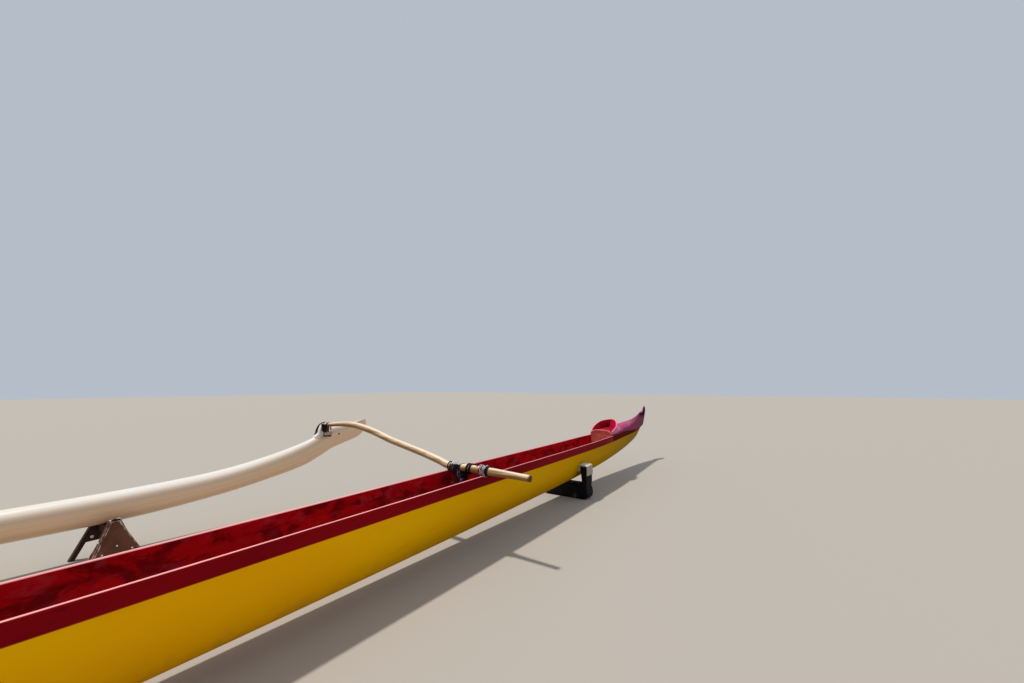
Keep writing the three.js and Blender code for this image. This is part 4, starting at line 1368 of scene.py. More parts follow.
section = tree.node("GeometryNodeStoreNamedAttribute", {"data_type": "FLOAT", "domain": "POINT"},
                    {"Geometry": section, "Name": "around", "Value": round_it})
cord = tree.node("GeometryNodeCurveToMesh", inputs={"Curve": turns, "Profile Curve": section})
CORD_TURNS = end_tree(tree, cord, given["Material"])
print("the tree has the inputs", [item.name for item in CORD_TURNS.interface.items_tree if item.in_out == "INPUT"])

# %% [markdown]
# ## Booms
#
# A boom is a peeled pole: it tapers to both ends, and its surface swells and dips. Its middle line runs through a few
# heights above the gunwales that it rests on. Rings of points follow that line; the ends are sawn square with a
# slightly rounded rim, and the points of the sawn faces are marked as end grain.

# %% The booms' middle lines
BOOM_RADIUS = 0.0335
BOOM_TIPS = {"starboard": (0.027, 0.360), "port": (0.0245, 0.620)}  # radius at the end, and length of the taper
BOOM_SEAT = 0.0015
BOOM_OVERHANG = 0.660
BOOM_FLOAT_END = 2.390
FLOAT_Y = 2.280
BOOM_LINES = {  # y, and height above the gunwale that the boom rests on
    "front": table("y rise", [
        (-0.660, -0.006), (-0.360, 0.000), (-0.060, 0.000), (0.215, 0.000), (0.338, 0.030), (0.506, 0.066),
        (0.683, 0.099), (0.871, 0.132), (1.069, 0.168), (1.280, 0.216), (1.503, 0.258), (1.700, 0.280),
        (1.880, 0.281), (2.050, 0.271), (2.200, 0.256), (2.390, 0.240)]),
    "rear": table("y rise", [
        (-0.660, -0.002), (-0.360, 0.000), (-0.060, 0.000), (0.215, 0.000), (0.338, 0.022), (0.612, 0.078),
        (0.913, 0.138), (1.240, 0.176), (1.562, 0.168), (1.890, 0.088), (2.120, -0.022), (2.280, -0.084),
        (2.390, -0.104)]),
}


def boom_radius(y):
    """A boom's radius at y: full in the middle, less towards both ends."""
    away = {"starboard": y + BOOM_OVERHANG, "port": BOOM_FLOAT_END - y}
    return BOOM_RADIUS - max((BOOM_RADIUS - radius) * (1 - min(away[end] / length, 1) ** 2)
                             for end, (radius, length) in BOOM_TIPS.items())


def boom_axis(where, y):
    """A point on a boom's middle line."""
    base = gunwale_height(BOOM_X[where]) + BOOM_RADIUS - BOOM_SEAT
    return np.array([BOOM_X[where], y, base + float(smooth_at(BOOM_LINES[where], "rise", y))])


print("the front boom crosses the float", round(float(boom_axis("front", FLOAT_Y)[2]), 3), "m up")

# %% [markdown]
# Each ring swells by one or two per cent along the pole and round it, in slow waves, as a grown stem does. Those
# waves are made of sines, so the pole is the same at every run.

# %% Booms
BOOM_RINGS = 150
BOOM_POINTS = 40


def boom_rings(where):
    stations = np.linspace(-BOOM_OVERHANG, BOOM_FLOAT_END, BOOM_RINGS)
    path = np.array([boom_axis(where, y) for y in stations])
    ahead = unit(np.gradient(path, axis=0))
    angle = circle(BOOM_POINTS)
    phase = 0.7 if where == "front" else 2.9
    for i, (centre, forward) in enumerate(zip(path, ahead)):
        y = stations[i]
        above = np.cross((1, 0, 0), forward)
        swell = 1 + 0.014 * math.sin(5.1 * y + phase) + 0.012 * np.sin(2 * angle + 3.1 * y + phase)
        swell = swell + 0.008 * np.sin(3 * angle - 6.7 * y)
        size = (boom_radius(y) - 0.0008) * swell
        ring = centre + np.outer(np.cos(angle) * size, (1, 0, 0)) + np.outer(np.sin(angle) * size, above)
        scales = {0: (0.25, 0.6, 0.9, 0.975), len(path) - 1: (0.975, 0.9, 0.6, 0.25)}.get(i, ())
        ends = [centre + (ring - centre) * scale - forward * (0.002 if i == 0 else -0.002) for scale in scales]
        yield from ends if i == 0 else []
        yield ring
        yield from ends if i == len(path) - 1 else []


for where in ("front", "rear"):
    pole = loft(f"boom_pole_{where}", list(boom_rings(where)))
    at = points_of(pole)
    outside = np.maximum(-BOOM_OVERHANG + 0.001 - at[:, 1], at[:, 1] - BOOM_FLOAT_END + 0.001)
    mark(pole, "endgrain", outside > -0.004)
    mark_faces_up(pole)
    finished(pole, boom_wood, "boom_wood", f"boom_{where}", crease=50)

# %% [markdown]
# ## Spreaders and hull lashings
#
# Under each boom a painted spreader crosses the hull below the gunwales. It is a short board whose ends follow the
# lining, and the boom is tied down to it.

# %% Spreaders
SPREADER_DROP = 0.100
SPREADER_DEPTH = 0.034
SPREADER_LENGTH = 0.064

for where, x in BOOM_X.items():
    top = float(gunwale_height(x)) - SPREADER_DROP
    ends = np.linspace(x - SPREADER_LENGTH / 2, x + SPREADER_LENGTH / 2, 5)
    port = [(along, room_at(along, top - SPREADER_DEPTH / 2) + 0.002) for along in ends]
    bar = board(f"spreader_bar_{where}", port + [(along, -y) for along, y in port[::-1]],
                top - SPREADER_DEPTH, top, 2, bevel=0.008)
    finished(bar, seat_red, "boom_wood", f"spreader_{where}")

# %% [markdown]
# Cord goes over the boom and under the spreader, many turns on each side, and a few turns round the bundle's waist
# pull it tight. The loop is drawn once: half a circle over the boom, two straight legs, and a flat bottom under the
# spreader. `lay_cord` lays it with the tree and marks how high each point lies, for the pale top that is partly
# bleached and partly a painted highlight.

# %% Loops of cord
ARC_STEPS = 14
ROUND_STEPS = 28
CORNER = 0.012  # how far a loop cuts its corners under a spreader


def closed_ring(points):
    """A ring of edges through points."""
    count = len(points)
    return points, [(i, (i + 1) % count) for i in range(count)], []


def lashing_loop(top_radius, drop, half_bottom, lean):
    """Over a boom and under a spreader, measured from the boom's axis. Its foot is moved along the boom by `lean`."""
    over = [(top_radius * math.cos(a), 0, top_radius * math.sin(a)) for a in np.linspace(0, math.pi, ARC_STEPS)]
    left = [(-top_radius + (top_radius - half_bottom) * t, lean * t, -drop * t) for t in (0.3, 0.6, 0.9)]
    bottom = [(-half_bottom, lean, -drop + CORNER), (-half_bottom + CORNER, lean, -drop),
              (half_bottom - CORNER, lean, -drop), (half_bottom, lean, -drop + CORNER)]
    right = [(-px, py, pz) for px, py, pz in left[::-1]]
    return closed_ring(over + left + bottom + right)


def round_loop(radius, across, squash=1.0):
    """A circle of cord across the x, y or z axis."""
    plane = {"y": lambda c, s: (c, 0, s * squash), "z": lambda c, s: (c, s * squash, 0),
             "x": lambda c, s: (0, c, s * squash)}[across]
    return closed_ring([plane(radius * math.cos(a), radius * math.sin(a)) for a in circle(ROUND_STEPS)])


def lay_cord(name, loop, look, turns, middle, step, radius, looseness=0.001, seed=1):
    """Turns of cord round a middle point, one step apart, in the place where they belong."""
    middle, step = np.asarray(middle, float), np.asarray(step, float)
    start = middle + (0, CENTRELINE, 0) - step * (turns - 1) / 2
    piece = run_tree(name, loop, CORD_TURNS, {
        "Turns": turns, "Start": start.tolist(), "Step": step.tolist(), "Cord Radius": radius,
        "Looseness": looseness, "Seed": seed, "Material": look.material,
    })
    top = points_of(piece)[:, 2]
    mark(piece, "sunny", soft_step(top, middle[2] + BOOM_RADIUS * 0.5, middle[2] + BOOM_RADIUS + 2 * radius))
    return piece


print("a lashing loop has", len(lashing_loop(0.042, 0.14, 0.036, 0)[0]), "points")

# %% [markdown]
# Each bundle has its legs, its waist, and turns that are wound round the boom alone: black ones underneath and a few
# paler ones, bleached by the sun, on top of them. Both booms are tied in the same way.

# %% Hull lashings
CORD = 0.0056
THIN = 0.0042
SPREADER_BOTTOM = {where: float(gunwale_height(x)) - SPREADER_DROP - SPREADER_DEPTH for where, x in BOOM_X.items()}
LEGS = {  # y over the boom, turns, cord radius, how far they lean inboard on their way down, and look
    "port": (0.104, 8, CORD, -0.070, cord_sunned),
    "starboard": (-0.190, 4, THIN, 0.030, cord_black),
}
WRAPS = [  # y of the middle, turns, their spacing, cord radius, how far outside the boom, look
    ("port_under", 0.126, 10, 0.0115, CORD, 0.0045, cord_black),
    ("port_over", 0.140, 4, 0.0118, 0.0052, 0.0125, cord_grey),
    ("starboard_under", -0.172, 2, 0.0240, THIN, 0.0034, cord_black),
    ("starboard_over", -0.196, 3, 0.0180, 0.0034, 0.0095, cord_pale),
]

for where in BOOM_X:
    for side, (y, turns, radius, lean, look) in LEGS.items():
        axis = boom_axis(where, y)
        loop = lashing_loop(BOOM_RADIUS + radius, axis[2] - SPREADER_BOTTOM[where] + radius, 0.034 + radius, lean)
        legs = lay_cord(f"lashing_{where}_{side}_legs", loop, look, turns, axis, (0, 2.04 * radius, 0), radius,
                        seed=3)
        finished(legs, look, "lashing_black", f"hull_lashing_{where}_{side}")
        waist = axis + (0, lean * 0.6, -BOOM_RADIUS - 0.030)
        belt = lay_cord(f"lashing_{where}_{side}_waist", round_loop(0.046, "z", squash=0.14 * turns), cord_black, 3,
                        waist, (0, 0, 2.1 * radius), radius, looseness=0.0015, seed=7)
        finished(belt, cord_black, "lashing_black")
    for label, y, turns, spacing, radius, outside, look in WRAPS:
        wrap = lay_cord(f"lashing_{where}_{label}", round_loop(BOOM_RADIUS + outside, "y"), look, turns,
                        boom_axis(where, y), (0, spacing, 0), radius, looseness=0.0012, seed=5)
        finished(wrap, look, "lashing_black")

# %% [markdown]
# Some turns hold only the boom: a thin stopper just outboard of the port gunwale, two fat turns in the middle, and
# a band outside the starboard gunwale. Over the starboard bundle two thin pale turns cross in an X, which locks the
# turns under them. Loose ends hang from both bundles; each is a path of a few points that is smoothed before it
# gets its tube.

# %% Stoppers and loose ends
RINGS = [  # name, y, turns, spacing, cord radius, look
    ("outboard", 0.206, 1, 0.010, 0.0050, cord_black),
    ("middle", -0.036, 2, 0.028, 0.0085, cord_black),
    ("band", -0.236, 2, 0.013, 0.0062, cord_black),
]
CROSSING = 0.036  # how far a crossing turn runs along the boom on its way round
LOOSE_ENDS = [  # name, y on the boom that the path is measured from, path, look, cord radius
    ("port_end", 0.035, [(-0.046, 0.018, -0.02), (-0.052, 0.006, -0.05), (-0.050, -0.004, -0.09),
                         (-0.044, -0.012, -0.135)], cord_grey, 0.0060),
    ("port_end_short", 0.035, [(-0.044, 0.040, -0.01), (-0.056, 0.026, -0.04), (-0.056, 0.014, -0.085)],
     cord_grey, 0.0060),
    ("starboard_end", -0.205, [(-0.036, 0.066, 0.034), (-0.016, 0.056, 0.056), (0.000, 0.020, 0.058),
                               (0.010, -0.004, 0.040)], cord_black, THIN),
]


def smooth_path(points, count=28, rounds=6):
    """More points along a rough path, with its corners rounded."""
    share = np.linspace(0, 1, len(points))
    fine = np.column_stack([np.interp(np.linspace(0, 1, count), share, axis) for axis in np.transpose(points)])
    for _ in range(rounds):
        fine[1:-1] = (fine[:-2] + 2 * fine[1:-1] + fine[2:]) / 4
    return fine


def cord_end(name, path, look, radius=CORD):
    """A loose end of cord along a path, marked so that its twist shows."""
    piece = tube(name, smooth_path(path), radius, sides=10, up=(0.3, 1, 0.2))
    at = points_of(piece)
    mark(piece, "run", at[:, 2] * 1.3)
    mark(piece, "around", np.arctan2(at[:, 1] - at[:, 1].mean(), at[:, 0] - at[:, 0].mean()) / (2 * math.pi) + 0.5)
    mark(piece, "sunny", 0.35)
    return finished(piece, look, "lashing_black")


for where in BOOM_X:
    for label, y, turns, spacing, radius, look in RINGS:
        ring = lay_cord(f"boom_ring_{where}_{label}", round_loop(BOOM_RADIUS + radius * 0.8, "y"), look, turns,
                        boom_axis(where, y), (0, spacing, 0), radius, looseness=0.001, seed=11)
        finished(ring, look, "lashing_black")
    for label, slant in (("left", 1), ("right", -1)):
        wide = BOOM_RADIUS + 0.011
        loop = closed_ring([(wide * math.cos(a), slant * CROSSING * math.sin(a), wide * math.sin(a))
                            for a in circle(32)])
        cross = lay_cord(f"boom_cross_{where}_{label}", loop, cord_pale, 1, boom_axis(where, -0.186),
                         (0, 0.012, 0), 0.0036, looseness=0.001, seed=13)
        finished(cross, cord_pale, "lashing_black")
    for label, middle, path, look, radius in LOOSE_ENDS:
        cord_end(f"{label}_{where}", boom_axis(where, middle) + path, look, radius)

# %% [markdown]
# The loose ends are tied off with a small knot on the near side of each bundle, and between the bundles a few slack
# turns hang under the boom. They are the same tree again: a knot is a short stack of tiny loops along X.

# %% Knots and slack turns
KNOTS = [  # label, place from the boom's axis at y = 0, loop radius, stretch upwards, turns, cord radius, look
    ("port", (-0.056, 0.018, -0.108), 0.010, 2.2, 3, 0.0050, cord_grey),
    ("starboard", (-0.040, -0.205, -0.030), 0.022, 0.9, 1, 0.0036, cord_pale),
]

for where in BOOM_X:
    for label, place, radius, stretch, turns, cord_radius, look in KNOTS:
        knot = lay_cord(f"knot_{where}_{label}", round_loop(radius, "x", squash=stretch), look, turns,
                        boom_axis(where, 0) + place, (2 * cord_radius, 0, 0), cord_radius, looseness=0.002, seed=19)
        finished(knot, look, "lashing_black")
    hang = boom_axis(where, 0.010) - (0, 0, 0.034)
    slack = lay_cord(f"slack_turns_{where}", round_loop(0.030, "y", squash=1.10), cord_black, 4, hang,
                     (0, 0.018, 0), 0.0045, looseness=0.004, seed=17)
    finished(slack, cord_black, "lashing_black")

# %% [markdown]
# ## Float
#
# The float is a slender spindle that curves up to a tall, thin blade at its front. It is lofted from ellipses whose
# top, bottom and half-width follow a table. `side` says how far up the section a point is, from -1 at the bottom to 1
# on top, and `seam` picks out the joint between the two halves, a little below the widest line.

# %% Float
FLOAT = table("x top bottom width", [
    (-3.600, 0.470, 0.452, 0.008), (-3.540, 0.486, 0.406, 0.034), (-3.300, 0.491, 0.341, 0.066),
    (-2.700, 0.488, 0.277, 0.098), (-1.900, 0.485, 0.254, 0.113), (-1.000, 0.485, 0.250, 0.116),
    (-0.300, 0.499, 0.256, 0.115), (0.300, 0.536, 0.304, 0.111), (0.750, 0.611, 0.372, 0.103),
    (1.150, 0.716, 0.456, 0.086), (1.350, 0.798, 0.540, 0.070), (1.480, 0.862, 0.604, 0.058),
    (1.650, 0.872, 0.656, 0.043), (1.800, 0.905, 0.697, 0.031), (1.900, 0.926, 0.748, 0.021),
    (1.950, 0.930, 0.810, 0.012),
])
SEAM_HEIGHT = -0.10
FLOAT_TAIL, FLOAT_NOSE = FLOAT["x"][[0, -1]]
FLOAT_POINTS = 56
FLOAT_RINGS = 190


def float_ring(x, squeeze=1.0, shift=0.0):
    top, bottom, width = (smooth_at(FLOAT, name, x) for name in ("top", "bottom", "width"))
    angle = circle(FLOAT_POINTS)
    return np.column_stack([
        np.full(FLOAT_POINTS, x + shift),
        FLOAT_Y + squeeze * width * np.cos(angle),
        (top + bottom) / 2 + squeeze * (top - bottom) / 2 * np.sin(angle),
    ])


def float_top(x):
    return float(smooth_at(FLOAT, "top", x))


rings = [float_ring(FLOAT_TAIL, 0.5, -0.004)]
rings += [float_ring(x) for x in np.linspace(FLOAT_TAIL, FLOAT_NOSE, FLOAT_RINGS)]
rings += [float_ring(FLOAT_NOSE, squeeze, shift) for squeeze, shift in ((0.9, 0.006), (0.68, 0.011), (0.3, 0.014))]
spindle = loft("float_spindle", rings)
blade = float_top(FLOAT_NOSE) - float(smooth_at(FLOAT, "bottom", FLOAT_NOSE))
print("the float's nose is", round(blade, 3), "m tall")

# %% [markdown]
# The front boom lies across the float's crest in a square notch. In front of it the crest begins again as the tall
# nose, and two small holes go through the blade for the straps. Boolean modifiers cut all three. The cutters are
# removed again afterwards.

# %% Notch and strap holes
NOTCH = {"aft": 1.382, "fore": 1.476, "floor": 0.822, "top": 0.95}
STRAP_HOLES = [(1.442, 0.764, 0.012), (1.554, 0.777, 0.014)]  # x, z and radius

corners = [(NOTCH[x], NOTCH[z]) for x, z in (("aft", "floor"), ("fore", "floor"), ("fore", "top"), ("aft", "top"))]
cutters = [bevelled(prism("cutter", corners, FLOAT_Y - 0.08, FLOAT_Y + 0.08, 1), 0.006)]
cutters += [tube("cutter", [(x, FLOAT_Y + y, z) for y in (-0.12, 0.0, 0.12)], radius, sides=24)
            for x, z, radius in STRAP_HOLES]
for cutter in cutters:
    cut = spindle.modifiers.new("cut", "BOOLEAN")
    cut.object, cut.operation, cut.solver = cutter, "DIFFERENCE", "EXACT"
plain(spindle)
for cutter in cutters:
    bpy.data.objects.remove(cutter)
at = points_of(spindle)
top, bottom = smooth_at(FLOAT, "top", at[:, 0]), smooth_at(FLOAT, "bottom", at[:, 0])
side = (at[:, 2] - (top + bottom) / 2) / ((top - bottom) / 2)
mark(spindle, "side", side)
mark(spindle, "seam", np.exp(-((side - SEAM_HEIGHT) / 0.03) ** 2))
# Marks the side away from the sun for its painted shade.
mark(spindle, "away", soft_step([-normal.vector.y for normal in spindle.data.vertex_normals], -0.15, 0.25))
mark_faces_up(spindle)
finished(spindle, float_white, "float_white", "float", crease=50)

# %% [markdown]
# ## The stop behind the front boom
#
# Behind the notch a stop is moulded on the float's back, which keeps the boom from sliding aft. It is a loft again,
# this time upwards: each ring is a rectangle with round corners, and the last ones shrink so that its top is rounded.

# %% Stop behind the boom
STOP = table("z aft fore width", [
    (0.700, 1.262, 1.380, 0.038), (0.765, 1.262, 1.380, 0.038), (0.803, 1.303, 1.380, 0.037),
    (0.845, 1.316, 1.380, 0.034), (0.891, 1.337, 1.380, 0.027), (0.902, 1.350, 1.375, 0.020),
])


STOP_POINTS = 48
STOP_TOP = 0.897  # where the rings begin to shrink


def stop_ring(z, squeeze=1.0, lift=0.0):
    aft, fore, width = (smooth_at(STOP, name, z) for name in ("aft", "fore", "width"))
    angle = circle(STOP_POINTS)
    square = [squarish(wave, 0.42) * squeeze for wave in (np.cos(angle), np.sin(angle))]
    return np.column_stack([(aft + fore) / 2 + square[0] * (fore - aft) / 2, FLOAT_Y + square[1] * width,
                            np.full(STOP_POINTS, z + lift)])


rings = [stop_ring(z) for z in np.linspace(0.700, STOP_TOP, 34)]
rings += [stop_ring(STOP_TOP, squeeze, lift) for squeeze, lift in ((0.94, 0.003), (0.80, 0.005), (0.5, 0.0058))]
stop = loft("float_stop", rings)
# The stop gets none of the float's painted shade.
for name, value in (("side", 1), ("seam", 0), ("away", 0), ("faces_up", 1)):
    mark(stop, name, value)
finished(stop, float_white, "float_white", crease=50)

# %% [markdown]
# ## Chocks and float lashings
#
# A wooden chock fills the room between each boom and the float. It is narrower at its waist, so that the straps
# cannot slip off, and it is a board like the others, drawn from the side.

# %% Chocks
CHOCKS = {"front": (1.384, 1.434, 0.040), "rear": (-1.496, -1.444, 0.042)}  # aft face, fore face, half the width
CHOCK_FOOT = {"front": NOTCH["floor"] - 0.010, "rear": float_top(BOOM_X["rear"]) - 0.022}

for where, (aft, fore, half) in CHOCKS.items():
    low, high = CHOCK_FOOT[where], boom_axis(where, FLOAT_Y)[2] - boom_radius(FLOAT_Y) / 2
    centre, reach = (aft + fore) / 2, (fore - aft) / 2
    waist = [(centre + s * reach * (1 - 0.14 * math.sin(math.pi * t)), low + (high - low) * t)
             for s, order in ((1, np.linspace(0, 1, 7)), (-1, np.linspace(1, 0, 7))) for t in order]
    block = board(f"float_chock_block_{where}", waist, FLOAT_Y - half, FLOAT_Y + half, 1,
                  bevel=0.004, grain=0.008, wear_reach=0.008)
    finished(block, chock_brown, "chock_brown", f"float_chock_{where}")

# %% [markdown]
# Rubber straps go over the boom and down to the float before and behind it. A strap is a flat tube: the same helper
# as for cord, squashed to a quarter. Three lie side by side round the rear boom.

# %% Straps round the rear boom
STRAP_HALF = 0.013
ARC_OVER_STEPS = 18


def strap(name, path, wide=(0, 1, 0), half=STRAP_HALF, flat=0.26):
    """A flat rubber strap along a path. `wide` is the direction of its width."""
    return tube(name, smooth_path(path, 64, 4), half * flat, sides=16, flat=1 / flat, up=wide)


def arc_over(where, y, spare, start, stop):
    """Points over a boom at y, a little outside its surface, between two angles up from its fore side."""
    centre, arm = boom_axis(where, y), boom_radius(y) + spare
    return [(centre[0] + arm * math.cos(a), y, centre[2] + arm * math.sin(a))
            for a in np.radians(np.linspace(start, stop, ARC_OVER_STEPS))]


for number, shift in enumerate((-0.030, -0.002, 0.026)):
    x, y = BOOM_X["rear"], FLOAT_Y + shift
    fore = (x + 0.062 + 0.004 * number, y + shift * 0.4, float_top(x + 0.062) - 0.030)
    aft = (x - 0.056 - 0.008 * number, y + shift * 0.4, float_top(x - 0.056) - 0.026)
    band = strap(f"float_strap_rear_{number + 1}", [fore, *arc_over("rear", y, 0.004, -10, 190), aft])
    finished(band, strap_black, "lashing_black", *["float_lashing_rear"] * (number == 0))

# %% [markdown]
# At the front boom a strap crosses the boom near its end and is wound three times round itself into a knot on the
# near side. Its tail goes down, then forward to the hole in the blade. A second strap lies over the stop's far
# corner, and a thin tan cord runs from the boom down to the same hole.

# %% Front boom's straps and knot
near = FLOAT_Y - 0.046
hole_x, hole_z = STRAP_HOLES[0][:2]
over = arc_over("front", FLOAT_Y - 0.050, 0.004, 60, 200)
lashed = strap("float_strap_front", [*over, (1.362, near - 0.010, 0.872), (1.347, near - 0.016, 0.846)], half=0.012)
finished(lashed, strap_black, "lashing_black", "float_lashing_front")
tail = strap("float_strap_tail", [
    (1.350, near - 0.018, 0.850), (1.345, near - 0.024, 0.812), (1.345, near - 0.028, 0.782),
    (1.352, near - 0.029, 0.772), (1.400, near - 0.026, 0.770), (1.430, near - 0.020, 0.766),
    (hole_x, near + 0.010, hole_z),
], wide=(0.3, 0.3, 1), half=0.008, flat=0.5)
finished(tail, strap_black, "lashing_black")
for number, (turn, rise, wide) in enumerate(((0.5, 0.000, 0.029), (-0.7, 0.012, 0.026), (0.1, -0.014, 0.024))):
    spin = [(1.353 + wide * math.cos(a), near - 0.014 + 0.014 * math.sin(a + turn),
             0.866 + rise + 0.028 * math.sin(a + turn)) for a in np.linspace(0.3, 2 * math.pi + 0.2, 16)]
    knot = strap(f"float_strap_knot_{number + 1}", spin, wide=(0.1, 1, 0.1), half=0.012, flat=0.7)
    finished(knot, strap_black, "lashing_black")
corner = strap("float_strap_corner", [
    (1.420, FLOAT_Y + 0.046, 0.924), (1.385, FLOAT_Y + 0.042, 0.920), (1.352, FLOAT_Y + 0.034, 0.906),
    (1.328, FLOAT_Y + 0.030, 0.882), (1.308, FLOAT_Y + 0.026, 0.846), (1.300, FLOAT_Y + 0.026, 0.806),
    (1.284, FLOAT_Y + 0.028, 0.776),
], half=0.017, flat=0.30)
finished(corner, strap_black, "lashing_black")
cord_end("float_cord_front", [
    (1.432, near - 0.010, 0.868), (1.438, near - 0.020, 0.820), (hole_x, near - 0.018, 0.785),
    (hole_x, near + 0.012, hole_z),
], cord_tan, 0.0055)

# %% [markdown]
# ## Trestle
#
# The float rests on a low trestle that is bolted together. The bolts are small lathe shapes placed by a second tree,
# which makes one head, a short cylinder with a flattened dome on it, and copies it to each point that it is given.

# %% A tree that places bolts
tree, given = geometry_tree("bolts", {
    "Radius": "Float", "Height": "Float", "Facing": "Vector", "Material": "Material",
})
shank = tree.node("GeometryNodeMeshCylinder", {"fill_type": "NGON"},
                  {"Vertices": 16, "Side Segments": 1, "Radius": given["Radius"], "Depth": given["Height"]},
                  out="Mesh")
dome = tree.node("GeometryNodeMeshUVSphere", inputs={"Segments": 16, "Rings": 8, "Radius": given["Radius"] * 0.82})
flatter = tree.node("ShaderNodeCombineXYZ", inputs={"X": 1.0, "Y": 1.0, "Z": 0.5})
dome = tree.node("GeometryNodeTransform", inputs={"Geometry": dome, "Scale": flatter})
both = tree.nodes.nodes.new("GeometryNodeJoinGeometry")
tree.nodes.links.new(shank.socket, both.inputs[0])
tree.nodes.links.new(dome.socket, both.inputs[0])
facing = tree.node("FunctionNodeAlignRotationToVector", {"axis": "Z"}, {"Vector": given["Facing"]})
heads = tree.node("GeometryNodeInstanceOnPoints",
                  inputs={"Points": given["Geometry"], "Instance": Signal(tree, both.outputs[0]), "Rotation": facing})
BOLTS = end_tree(tree, heads, given["Material"])
print("bolt tree:", len(BOLTS.nodes), "nodes")

# %% [markdown]
# The trestle stands a little askew under the float, and its near frame leans aft. Its boards are drawn upright about
# the trestle's own middle and then turned, which is simpler than drawing them askew.

# %% Standing askew
TRESTLE_PLACE = (-0.446, FLOAT_Y - 0.088, 0)
TRESTLE_TURN = math.radians(6.4)
NEAR_LEAN = 0.13  # how far aft a point of the near frame moves for each metre up
NEAR_FRAME = -0.131  # points beyond this lean; the beam and the last millimetre of the legs, inside, stay upright
LEAN_FROM = 0.15  # the height at which nothing moves; below it points move towards the bow
TURN = np.array([[math.cos(TRESTLE_TURN), -math.sin(TRESTLE_TURN), 0],
                 [math.sin(TRESTLE_TURN), math.cos(TRESTLE_TURN), 0], [0, 0, 1]])


def stood(points):
    """Points about the trestle's own middle, turned and moved to where it stands. The near frame leans aft."""
    points = np.array(points, float)
    points[:, 0] += np.where(points[:, 1] < NEAR_FRAME, NEAR_LEAN * (LEAN_FROM - points[:, 2]), 0)
    return points @ TURN.T + TRESTLE_PLACE


def trestle_board(name, outline, low, high, look, nodes=(), **options):
    """A board drawn about the trestle's middle, then stood in its place."""
    piece = board(name, outline, low, high, 1, **options)
    at = stood(points_of(piece)) + (0, CENTRELINE, 0)
    piece.data.vertices.foreach_set("co", at.ravel())
    return finished(piece, look, "trestle_brown", *nodes)


print("the trestle is turned by", round(math.degrees(TRESTLE_TURN), 1), "degrees")

# %% [markdown]
# Two A-shaped frames of boards stand either side of the float's underside, each with a plywood gusset, and a beam
# between them carries it. The far frame is cut off below the float. The far frame and the beam get a darker copy of
# the paint, a painted shade. The outlines are drawn from the side, in metres from the middle and from the ground.

# %% Trestle
TRESTLE_FRAMES = {"near": -0.149, "far": 0.149}
TRESTLE_BOARD = 0.038
LEG_OUTLINES = {
    "near": [(0.0002, 0.322), (0.024, 0.322), (0.172, 0), (0.140, 0), (0.0002, 0.304)],
    "far": [(0.032, 0.250), (0.066, 0.250), (0.174, 0), (0.140, 0)],
}
GUSSET_OUTLINES = {
    "near": [(-0.020, 0.314), (0.020, 0.314), (0.135, 0.062), (-0.135, 0.062)],
    "far": [(-0.050, 0.246), (0.050, 0.246), (0.106, 0.125), (-0.106, 0.125)],
}
GUSSET_THICKNESS = 0.012
BEAM_SIZE = 0.060
BOLT_SPOTS = {"near": [(0.000, 0.122), (-0.088, 0.078), (0.088, 0.078)], "far": [(0.050, 0.170)]}

bolt_places = []
for name, reach in TRESTLE_FRAMES.items():
    low, high = reach - TRESTLE_BOARD / 2, reach + TRESTLE_BOARD / 2
    # The far frame gets painted shade.
    look = {"near": trestle_brown, "far": trestle_dark}[name]
    for side, place in ((-1, "aft"), (1, "fore")):
        outline = [(side * x, z) for x, z in LEG_OUTLINES[name]]
        trestle_board(f"trestle_board_{name}_{place}", outline, low, high, grain=0.012, look=look,
                      nodes=[f"trestle_leg_{name}_{place}"])
    face = low - GAP - GUSSET_THICKNESS
    trestle_board(f"trestle_plate_{name}", GUSSET_OUTLINES[name], face, low - GAP, bevel=0.002, grain=0.012,
                  look=look, nodes=[f"trestle_gusset_{name}"])
    bolt_places += [(x, face - 0.001, z) for x, z in BOLT_SPOTS[name]]

beam_top = float(smooth_at(FLOAT, "bottom", TRESTLE_PLACE[0])) + 0.003
corners = [(-0.03, beam_top - BEAM_SIZE), (0.03, beam_top - BEAM_SIZE), (0.03, beam_top), (-0.03, beam_top)]
trestle_board("trestle_cross_beam", corners, TRESTLE_FRAMES["near"] + TRESTLE_BOARD / 2,
              TRESTLE_FRAMES["far"] - TRESTLE_BOARD / 2 - GUSSET_THICKNESS, look=trestle_dark, nodes=["trestle_beam"])

# %% [markdown]
# Three bolts show on the near gusset and one on the far one. A larger washer sits on the far plate and a screw on the
# aft leg's edge. Each faces away from the board that it holds, and the last two are turned up a little to the sky.

# %% Bolts, washer and screw
face = TRESTLE_FRAMES["near"] - TRESTLE_BOARD / 2 - GUSSET_THICKNESS
washer_spots = [(-0.060, TRESTLE_FRAMES["far"] - TRESTLE_BOARD / 2 - GUSSET_THICKNESS - 0.004, 0.160)]
screw_spots = [(-0.0945, TRESTLE_FRAMES["near"], 0.170)]  # on the aft leg's outer edge
for name, spots, radius, height, facing in (
        ("bolts", bolt_places, 0.0058, 0.004, -TURN[:, 1]),
        ("washer", washer_spots, 0.0115, 0.003, -TURN[:, 1] + (0, 0, 0.45)),
        ("screw", screw_spots, 0.0060, 0.004, -TURN[:, 0] + (0, 0, 0.55))):
    heads = run_tree(f"trestle_{name}", (stood(spots) + (0, CENTRELINE, 0), [], []), BOLTS, {
        "Radius": radius, "Height": height, "Facing": facing.tolist(), "Material": bolt_metal.material})
    finished(heads, bolt_metal, "trestle_brown")

# %% [markdown]
# A small cap is bolted over the near frame's peak to hold its two legs together. Its paint has gone from every edge,
# so it shows as a pale rim round a dark middle.

# %% Peak cap
CAP_OUTLINE = [(-0.032, 0.312), (0.030, 0.312), (0.032, 0.330), (0.022, 0.337), (-0.022, 0.337), (-0.034, 0.328)]

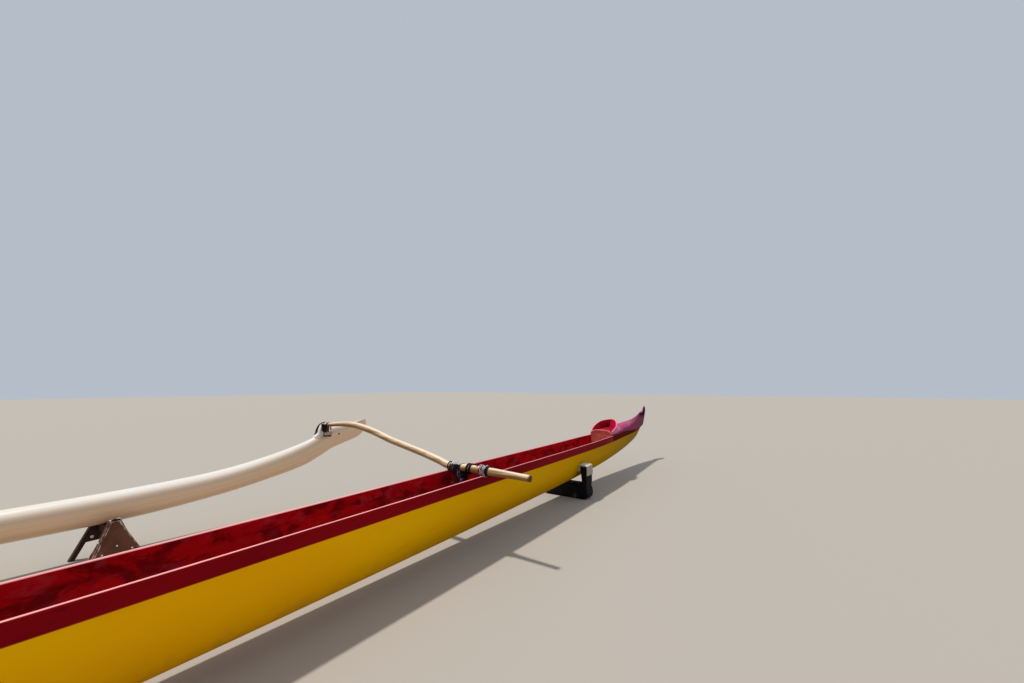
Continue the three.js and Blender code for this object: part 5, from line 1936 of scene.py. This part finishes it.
trestle_board("trestle_peak_cap", CAP_OUTLINE, face - 0.016, face - 0.0006, look=cap_worn, bevel=0.004,
              grain=0.006, wear_reach=0.009)

# %% [markdown]
# ## Cradles
#
# Each cradle is a block of black foam with an arm up each side of the hull. Its edges are soft, so the bevel is wide.
# The hull's own section is used for the inside of the arms, a few millimetres out, so the block really holds it.
# Pads of pale carpet lie over the arms where the hull touches them.

# %% Cradles
CRADLE_X = {"bow": 3.330, "stern": -3.330}
CRADLE_LENGTH = 0.180
CRADLE_ARM_REACH = 0.186
CRADLE_OUTLINE = [(0.240, 0), (0.292, 0.014), (0.308, 0.058), (0.300, 0.112), (0.286, 0.150), (0.296, 0.190)]
CRADLE_ARM = (0.298, 0.212)
PAD_THICKNESS = 0.024
PAD_DEPTH = 0.058
FLAP_DEPTH = 0.105  # how far the carpet hangs down outside an arm


def hull_side(x, z):
    """Half the hull's width at x and height z."""
    return half_width(hull_curve(x, drop=0.02), z)


for name, x in CRADLE_X.items():
    keel = float(smooth_at(HULL, "keel", x))
    arm = keel + CRADLE_ARM_REACH
    trough = min(0.172, keel - 0.004)
    outer, inner = CRADLE_ARM
    half = [*CRADLE_OUTLINE, (outer, arm), (inner, arm), (0.232, 0.200), (0.150, trough), (0.0, trough)]
    block = board(f"{name}_cradle_block", half + [(-y, z) for y, z in half[-2::-1]], x - CRADLE_LENGTH / 2,
                  x + CRADLE_LENGTH / 2, 0, bevel=0.016, grain=0.02, wear_reach=0.016)
    finished(block, cradle_black, "cradle_black", f"{name}_cradle")
    for place, side in SIDES.items():
        inside = [(hull_side(x, z) + 0.001, z) for z in np.linspace(arm - PAD_DEPTH, arm + PAD_THICKNESS - 0.004, 7)]
        over = [(0.236, arm + PAD_THICKNESS), (0.280, arm + PAD_THICKNESS - 0.003), (0.302, arm + 0.008)]
        flap = [(0.306, arm - 0.030), (0.306, arm - FLAP_DEPTH), (0.2985, arm - FLAP_DEPTH), (0.2985, arm + 0.001)]
        under = [(0.2125, arm + 0.001), (0.2115, arm - PAD_DEPTH)]
        pad = board(f"{name}_carpet_pad_{place}", [(side * y, z) for y, z in inside + over + flap + under],
                    x - CRADLE_LENGTH / 2 + 0.006, x + CRADLE_LENGTH / 2 - 0.006, 0, bevel=0.003, grain=0.010)
        mark_faces_up(pad)
        finished(pad, pad_white, "pad_white", f"{name}_cradle_pad_{place}")

# %% [markdown]
# ## Last measurements
#
# The dressed canoe has to keep the size of its solids. Both boxes are printed.

# %% Sizes and finish
dressed_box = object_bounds()
boxes = {"solids": [list(corner) for corner in solids_box], "dressed": [list(corner) for corner in dressed_box]}
print({name: [round(c, 4) for corner in box for c in corner] for name, box in boxes.items()})
